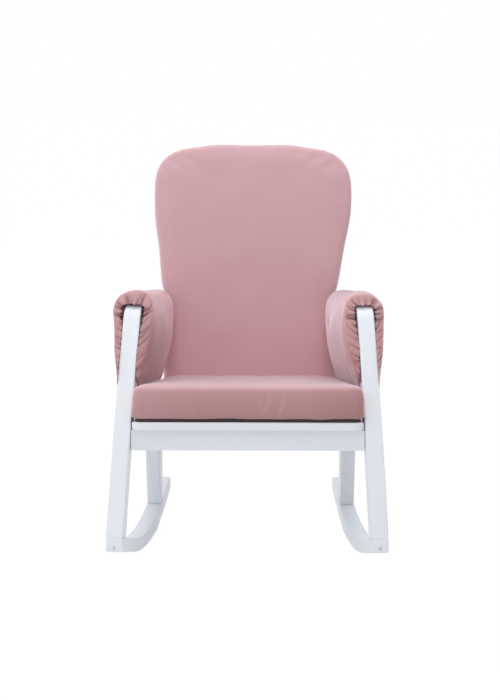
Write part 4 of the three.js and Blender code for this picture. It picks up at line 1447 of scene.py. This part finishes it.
@dataclass(frozen=True)
class Survey:
    """What the gathering reads of each point of a cover.

    The point's place in its side frame, its depth behind the front plane, its distance from the
    opening's edge, and shares from 0 to 1: over the arm and not beside the leg, ahead of the
    seam, on the front face, near the edge, and in a pucker. Drawn is how far its creases draw it
    in, in metres.
    """

    placed: np.ndarray
    depth: np.ndarray
    edge: np.ndarray
    over: np.ndarray
    ahead: np.ndarray
    front: np.ndarray
    near: np.ndarray
    pucker: np.ndarray
    drawn: np.ndarray


@dataclass
class ArmCovers:
    """The two padded covers on the arms, each gathered round the leg at its front end.

    The pairs of places are the two ends of a soft step, or the middle and reach of a bell.
    Outwards counts from the leg's middle plane, heights from the cover's hem or the opening's
    top, depths from the cover's front plane and edge distances from the opening's edge. What the
    lip does is given where it is smooth, and then what a pucker adds.
    """

    swelling: Swelling = field(
        default_factory=lambda: Swelling(
            voxel=6 * MILLIMETRE, cap=4 * MILLIMETRE, relax_rounds=3, settle_rounds=5
        )
    )
    set_back: float = 8 * MILLIMETRE
    hang: float = 208.8 * MILLIMETRE
    edge_margin: float = 4 * MILLIMETRE
    turn_radius: float = 36 * MILLIMETRE
    turn_drop: float = 18 * MILLIMETRE

    outer: Span = (8 * MILLIMETRE, 30 * MILLIMETRE)
    inner: Span = (-5 * MILLIMETRE, -16 * MILLIMETRE)
    inner_face: Span = (-23 * MILLIMETRE, -40 * MILLIMETRE)
    rear_run: Span = (0.02, 0.26)
    shoulder: Span = (203 * MILLIMETRE, 36 * MILLIMETRE)
    slack_height: Span = (0.12, 0.03)
    tuck: float = 8 * MILLIMETRE
    tuck_height: Span = (24 * MILLIMETRE, 16 * MILLIMETRE)
    hem: Span = (16 * MILLIMETRE, 2 * MILLIMETRE)
    hem_depth: float = 0.8 * MILLIMETRE
    drop_height: Span = (60 * MILLIMETRE, 0.0)
    folds: tuple[Wrinkle, ...] = (
        Wrinkle(0.034, 0.10, 0.014, 2.0),
        Wrinkle(0.105, -0.25, 0.024, 1.4),
    )
    fold_height: Span = (0.10, 0.02)

    fine_depth: float = 20 * MILLIMETRE
    fine_run: float = 0.075
    fine_step: float = 0.0042
    strong_run: float = 0.25
    strong_over: float = 62 * MILLIMETRE
    leg_side: Span = (85 * MILLIMETRE, 50 * MILLIMETRE)
    front_side: Span = (12 * MILLIMETRE, 5 * MILLIMETRE)
    front_edge: Span = (-3 * MILLIMETRE, 1 * MILLIMETRE)
    near_reach: float = 11 * MILLIMETRE
    most_drawn: float = 8 * MILLIMETRE
    full_pucker: float = 4.5 * MILLIMETRE
    puff: float = 4 * MILLIMETRE
    seam: Span = (8 * MILLIMETRE, 2 * MILLIMETRE)
    seam_press: float = 1.2 * MILLIMETRE
    # Painted shade: in the creases, at the opening's rim and wall, and the laid colour on the front
    # strip, lighter over the arm.
    crease_shade_start: float = 0.8 * MILLIMETRE
    crease_shade_full: float = 3.2 * MILLIMETRE
    rim_share: Span = (0.45, 0.5)
    hole_shade: float = 0.9
    front_clear: float = 0.8
    over_lit: float = 0.25
    wall: Span = (0.5 * MILLIMETRE, -1.5 * MILLIMETRE)
    wall_depth: float = 30 * MILLIMETRE
    lip_depth: Span = (26 * MILLIMETRE, 12 * MILLIMETRE)
    lip_height: Span = (-0.075, -0.015)
    lip_out: Span = (1.4 * MILLIMETRE, 2.2 * MILLIMETRE)
    lip_back: Span = (9 * MILLIMETRE, 4 * MILLIMETRE)
    lip_ahead: float = 9.5 * MILLIMETRE
    lip_up: float = 2.5 * MILLIMETRE
    above_height: float = -2 * MILLIMETRE
    crown: Span = (2 * MILLIMETRE, 26 * MILLIMETRE)
    droop_depth: Span = (48 * MILLIMETRE, 6 * MILLIMETRE)
    # Painted shade low on the inner side.
    shaded_side: Span = (-10 * MILLIMETRE, -32 * MILLIMETRE)
    shaded_height: Span = (0.225, 0.07)
    shaded_run: Span = (0.40, 0.14)

    line: SideFrame = field(init=False)
    opening_top: float = field(init=False)

    def build(self, palette: Palette) -> None:
        """Makes both covers.

        Args:
            palette: The chair's finishes.
        """
        for side in Side:
            node = f"arm_pad_{side.word}"
            self.line = SideFrame(side)
            self.opening_top = self.line.opening_top(self.set_back)
            cover = self.swelling.skin(node, f"arm_cover_{side.word}")
            held = self._edge_distance(self._placed(cover)) < self.edge_margin
            self.swelling.fill(cover, node, held.astype(float))
            ripple(cover, amplitude=0.4 * MILLIMETRE, length=0.2, seed=11 + side.value)
            self._shape_sides(cover, SITS[side])
            self._refine_front(cover)
            self._gather(cover, SITS[side], seed=21 + side.value)
            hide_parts(node)
            # The cover on the sitter's right takes the velvet copy with less sheen: painted shade.
            shade_tuned = side is Side.RIGHT
            finished(cover, Body.FRAME, palette.shade_tuned if shade_tuned else palette.velvet)

    def _placed(self, cover: bpy.types.Object) -> np.ndarray:
        """Each point of a cover in its side frame's coordinates."""
        return self.line.to_frame(points_of(cover))

    def _depth(self, placed: np.ndarray) -> np.ndarray:
        """How far each place lies behind the cover's front plane."""
        return placed[:, 1] - self.line.front_face(placed[:, 2]) - self.set_back

    def _height(self, placed: np.ndarray) -> np.ndarray:
        """How far each place lies above the cover's hem."""
        return placed[:, 2] - self.line.arm_top(placed[:, 1]) + self.hang

    def _edge_distance(self, placed: np.ndarray) -> np.ndarray:
        """How far each place lies outside the opening that the leg passes through."""
        over = placed[:, 2] - self.opening_top
        beside = np.abs(placed[:, 0]) - self.line.half_width
        outside = np.hypot(np.maximum(over, 0), np.maximum(beside, 0))
        return outside + np.minimum(np.maximum(over, beside), 0)

    def _along_opening(self, placed: np.ndarray) -> np.ndarray:
        """How far each place lies along the opening's edge, from the middle of its top."""
        centre = self.opening_top - self.turn_drop
        angle = np.arctan2(placed[:, 0], placed[:, 2] - centre)
        quarter = self.turn_radius * math.pi / 2
        below = np.sign(placed[:, 0]) * (quarter + centre - placed[:, 2])
        return np.where(placed[:, 2] > centre, angle * self.turn_radius, below)

    def _shape_sides(self, cover: bpy.types.Object, sit: Sit) -> None:
        """Fills the outer shoulder, draws the inner side in and lets it hang on the cushion."""
        placed = self._placed(cover)
        outwards, depth, height = placed[:, 0], self._depth(placed), self._height(placed)
        behind = smooth_step(*self.rear_run, depth)
        inner = smooth_step(*self.inner, outwards)
        slack = 1 + sit.slack * smooth_step(*self.slack_height, height)
        swell = bell(*self.tuck_height, height) * (1 - behind)
        moved = np.zeros_like(placed)
        moved[:, 0] = sit.shoulder * MILLIMETRE * bell(*self.shoulder, height)
        moved[:, 0] *= smooth_step(*self.outer, outwards)
        moved[:, 0] += inner * sit.draw_in * MILLIMETRE * slack * behind
        moved[:, 0] -= smooth_step(*self.inner_face, outwards) * self.tuck * swell
        moved[:, 0] += inner * self._hanging_folds(depth, height)
        moved[:, 2] = -self.tuck / 2 * smooth_step(*self.drop_height, height)
        press(cover, self.hem_depth * bell(*self.hem, height))
        set_points(cover, points_of(cover) + self.line.to_chair(moved))

    def _hanging_folds(self, depth: np.ndarray, height: np.ndarray) -> np.ndarray:
        """Soft upright folds low on the inner side, as the depth of each place."""
        total = sum(fold.at(depth, height) for fold in self.folds) * MILLIMETRE
        return total * smooth_step(*self.fold_height, height)

    def _refine_front(self, cover: bpy.types.Object) -> None:
        """Gives the gathered front end finer faces."""
        placed = self._placed(cover)
        near = self._depth(placed) < self.fine_depth
        near &= self._edge_distance(placed) > -self.edge_margin
        mesh = cover.data
        corners = np.empty(len(mesh.loops), dtype=int)
        mesh.loops.foreach_get("vertex_index", corners)
        starts = np.empty(len(mesh.polygons), dtype=int)
        mesh.polygons.foreach_get("loop_start", starts)
        with edit_mode(cover, chosen=np.logical_and.reduceat(near[corners], starts)):
            bpy.ops.mesh.subdivide(number_cuts=2, smoothness=0.6)

    def _creases(self, chance: np.random.Generator) -> list[Crease]:
        """Draws the creases: close and deep over the arm, sparse and slanting beside the leg."""
        creases = []
        for place in np.arange(-self.fine_run, self.fine_run, self.fine_step):
            along = float(place) + chance.uniform(*FINE.step) * MILLIMETRE
            creases.append(FINE.draw(chance, along))
        for way in (-1, 1):
            place = chance.uniform(1, 4) * MILLIMETRE
            while place < self.strong_run:
                over = place < self.strong_over
                kind = OVER_ARM if over else BESIDE_LEG
                creases.append(kind.draw(chance, way * place, 1 if over else -way))
                place += chance.uniform(*kind.step) * MILLIMETRE
        return creases

    def _survey(self, cover: bpy.types.Object, creases: list[Crease]) -> Survey:
        """Measures every point of a cover for the gathering."""
        placed = self._placed(cover)
        depth = self._depth(placed)
        edge = self._edge_distance(placed)
        outside = np.maximum(edge, 0)
        along = self._along_opening(placed)
        drawn = sum(crease.drawn(along, outside) for crease in creases)
        at_lip = sum(crease.drawn(along, np.zeros_like(edge)) for crease in creases)
        ahead = smooth_step(*self.front_side, depth)
        return Survey(
            placed=placed,
            depth=depth,
            edge=edge,
            over=smooth_step(*self.leg_side, np.abs(along)),
            ahead=ahead,
            front=ahead * smooth_step(*self.front_edge, edge),
            near=np.exp(-outside / self.near_reach),
            pucker=np.clip(at_lip / self.full_pucker, 0, 1),
            drawn=np.minimum(drawn, self.most_drawn),
        )

    def _gather(self, cover: bpy.types.Object, sit: Sit, seed: int) -> None:
        """Draws the front end in round the leg, in uneven puckers behind a soft seam."""
        read = self._survey(cover, self._creases(np.random.default_rng(seed)))
        self._shade(cover, read, sit)
        press(cover, -self._stand_out(read))
        set_points(cover, points_of(cover) + self.line.to_chair(self._curl(read, sit)))

    def _stand_out(self, read: Survey) -> np.ndarray:
        """How far the front end stands out between its creases, less what its seam takes in."""
        puff = self.puff * raised(0.4, read.near) * raised(0.4, read.over)
        seam = bell(*self.seam, read.depth) * (read.edge > self.edge_margin) * raised(0.3, read.over)
        return (puff - read.drawn) * read.front - self.seam_press * seam

    def _curl(self, read: Survey, sit: Sit) -> np.ndarray:
        """How the opening's lip lifts off the arm and curls in, and how the top droops.

        Args:
            read: What is known of each point.
            sit: How this cover sits.

        Returns:
            Rows of outwards, behind and up, in metres.
        """
        up = read.placed[:, 2] - self.opening_top
        above = up > self.above_height
        high = smooth_step(*self.lip_height, up)
        lip = smooth_step(sit.lip * MILLIMETRE, 0.0, read.edge)
        lip *= smooth_step(*self.lip_depth, read.depth)
        away = np.zeros_like(read.placed)
        smooth, puckered = self.lip_out
        beside = (smooth + puckered * read.pucker) * high
        beside -= np.clip(read.edge, 0, self.edge_margin) * (1 - high)
        away[:, 0] = np.where(above, 0.0, np.sign(read.placed[:, 0]) * beside) * lip
        smooth, puckered = self.lip_back
        away[:, 1] = ((smooth + puckered * read.pucker) * high - self.lip_ahead * (1 - high)) * lip
        lift = sit.lift * MILLIMETRE + self.lip_up * read.pucker
        away[:, 2] = np.where(above, lift, 0.0) * lip
        droop = smooth_step(*self.crown, up) * smooth_step(*self.droop_depth, read.depth)
        away[:, 2] -= sit.droop * MILLIMETRE * droop
        return away

    def _shade(self, cover: bpy.types.Object, read: Survey, sit: Sit) -> None:
        """Keeps each point's painted shade: dark in the creases, at the opening's rim and wall and
        low on the inner side, and the laid colour on the front strip and the inner side, partly the
        pile lying down.
        """
        smooth, puckered = self.rim_share
        rim_width = (smooth + puckered * read.pucker) * sit.lip * MILLIMETRE
        rim = smooth_step(rim_width, 0.0, read.edge) * read.over
        dark = np.clip((read.drawn - self.crease_shade_start) / self.crease_shade_full, 0, 1)
        fold = dark * raised(0.4, read.near) + self.hole_shade * rim
        wall = smooth_step(*self.wall, read.edge) * (read.depth < self.wall_depth)
        inside = self._inside(read)
        shaded = sit.shade * inside * (1 - self.front_clear * read.ahead)
        dark = read.front * fold + self.hole_shade * wall + shaded
        keep_trait(cover, Trait.FOLD, np.clip(dark, 0, 1))
        laid = read.ahead * (1 - self.over_lit * read.over)
        keep_trait(cover, Trait.LAID, np.maximum(laid, inside))

    def _inside(self, read: Survey) -> np.ndarray:
        """Where the inner side gets painted shade and the laid colour: 1 low, 0 at its top."""
        low = smooth_step(*self.shaded_height, self._height(read.placed))
        inner = smooth_step(*self.shaded_side, read.placed[:, 0])
        return inner * low * smooth_step(*self.shaded_run, read.depth)


# The studio


@dataclass(frozen=True)
class Lamp:
    """A square soft lamp: where it hangs and its side, in metres, and its power in watts."""

    name: str
    place: Triple
    size: float
    power: float

    def hang(self, aim: Triple) -> None:
        """Hangs the lamp so that it faces a point.

        Args:
            aim: The point.
        """
        data = bpy.data.lights.new(self.name, "AREA")
        data.size = self.size
        data.energy = self.power
        lamp = bpy.data.objects.new(self.name, data)
        lamp.location = self.place
        towards = Vector(aim) - Vector(self.place)
        lamp.rotation_euler = towards.to_track_quat("-Z", "Y").to_euler()
        bpy.context.scene.collection.objects.link(lamp)


LAMPS = (
    Lamp("key", (-2.2, -2.2, 3.0), 2.0, 6.0),
    Lamp("front", (-0.3, -3.6, 3.0), 1.5, 22.0),
    Lamp("over", (0.0, -1.4, 3.6), 1.6, 18.0),
    Lamp("top", (0.1, 0.7, 3.4), 2.0, 38.0),
    Lamp("left", (-3.0, -0.8, 1.4), 2.0, 9.0),
    Lamp("right", (1.8, 0.8, 3.2), 2.0, 14.0),
    Lamp("low", (0.0, -3.6, 0.35), 2.0, 2.0),
    Lamp("rim", (-2.6, 1.2, 1.8), 2.0, 28.0),
)


@dataclass
class Studio:
    """White floor, soft lamps and the camera that took the photograph."""

    camera_place: Triple = (0.071, -4.8715, 1.2414)
    camera_pitch: float = math.radians(8.75)
    camera_yaw: float = math.radians(0.825)
    focal_length: float = 99.02
    sensor_width: float = 36.0
    floor_size: float = 60.0
    floor_tone: Colour = (0.9, 0.9, 0.9)
    floor_white: float = 0.94
    floor_glow: float = 1.04
    room_tone: Colour = (0.93, 0.96, 1.0)
    room_strength: float = 0.46
    aim: Triple = (0.0, 0.0, 0.5)

    def build(self) -> None:
        """Sets up the camera, floor, world and lamps."""
        self._camera()
        self._floor()
        self._world()
        for lamp in LAMPS:
            lamp.hang(self.aim)
        bpy.context.scene.view_settings.view_transform = "Standard"

    def _camera(self) -> None:
        """Places the camera at the photograph's viewpoint."""
        data = bpy.data.cameras.new("photo_camera")
        data.lens = self.focal_length
        data.sensor_width = self.sensor_width
        camera = bpy.data.objects.new("photo_camera", data)
        camera.location = self.camera_place
        camera.rotation_euler = (math.pi / 2 - self.camera_pitch, 0.0, self.camera_yaw)
        bpy.context.scene.collection.objects.link(camera)
        bpy.context.scene.camera = camera

    @staticmethod
    def _seen_white(tree: Tree) -> bpy.types.NodeSocket:
        """1 for rays from the camera, off gloss and through glass, and 0 for others."""
        rays = tree.add("ShaderNodeLightPath").outputs
        first = tree.maths("MAXIMUM", rays["Is Camera Ray"], rays["Is Glossy Ray"])
        return tree.maths("MAXIMUM", first, rays["Is Transmission Ray"])

    def _floor(self) -> None:
        """Lays the floor, which shows white but keeps the chair's shadow."""
        bpy.ops.mesh.primitive_plane_add(size=self.floor_size, location=(0, 0, 0))
        floor = bpy.context.object
        floor.name = "studio_floor"
        material = bpy.data.materials.new("studio_floor")
        material.use_nodes = True
        tree = Tree(material.node_tree)
        matt = tree.add("ShaderNodeBsdfDiffuse", Color=self.floor_tone)
        white = tree.add("ShaderNodeEmission", Strength=self.floor_glow)
        share = tree.maths("MULTIPLY", self._seen_white(tree), self.floor_white)
        tree.add("ShaderNodeOutputMaterial", Surface=tree.layer(share, matt, white))
        floor.data.materials.append(material)

    def _world(self) -> None:
        """A soft pale room that shows white behind the chair."""
        world = bpy.data.worlds.new("studio")
        bpy.context.scene.world = world
        world.use_nodes = True
        tree = Tree(world.node_tree)
        room = tree.add("ShaderNodeBackground", Color=self.room_tone, Strength=self.room_strength)
        white = tree.add("ShaderNodeBackground", Color=(1.0, 1.0, 1.0), Strength=1.0)
        mixed = tree.layer(self._seen_white(tree), room, white)
        tree.add("ShaderNodeOutputWorld", Surface=mixed)


def main() -> None:
    """Builds the studio and the chair's sub-assemblies in order."""
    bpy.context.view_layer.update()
    Studio().build()
    palette = Palette()
    HardParts().dress(palette)
    Fasteners().build(palette)
    Back().build(palette)
    SeatCushion().build(palette)
    ArmCovers().build(palette)


if __name__ == "__main__":
    main()
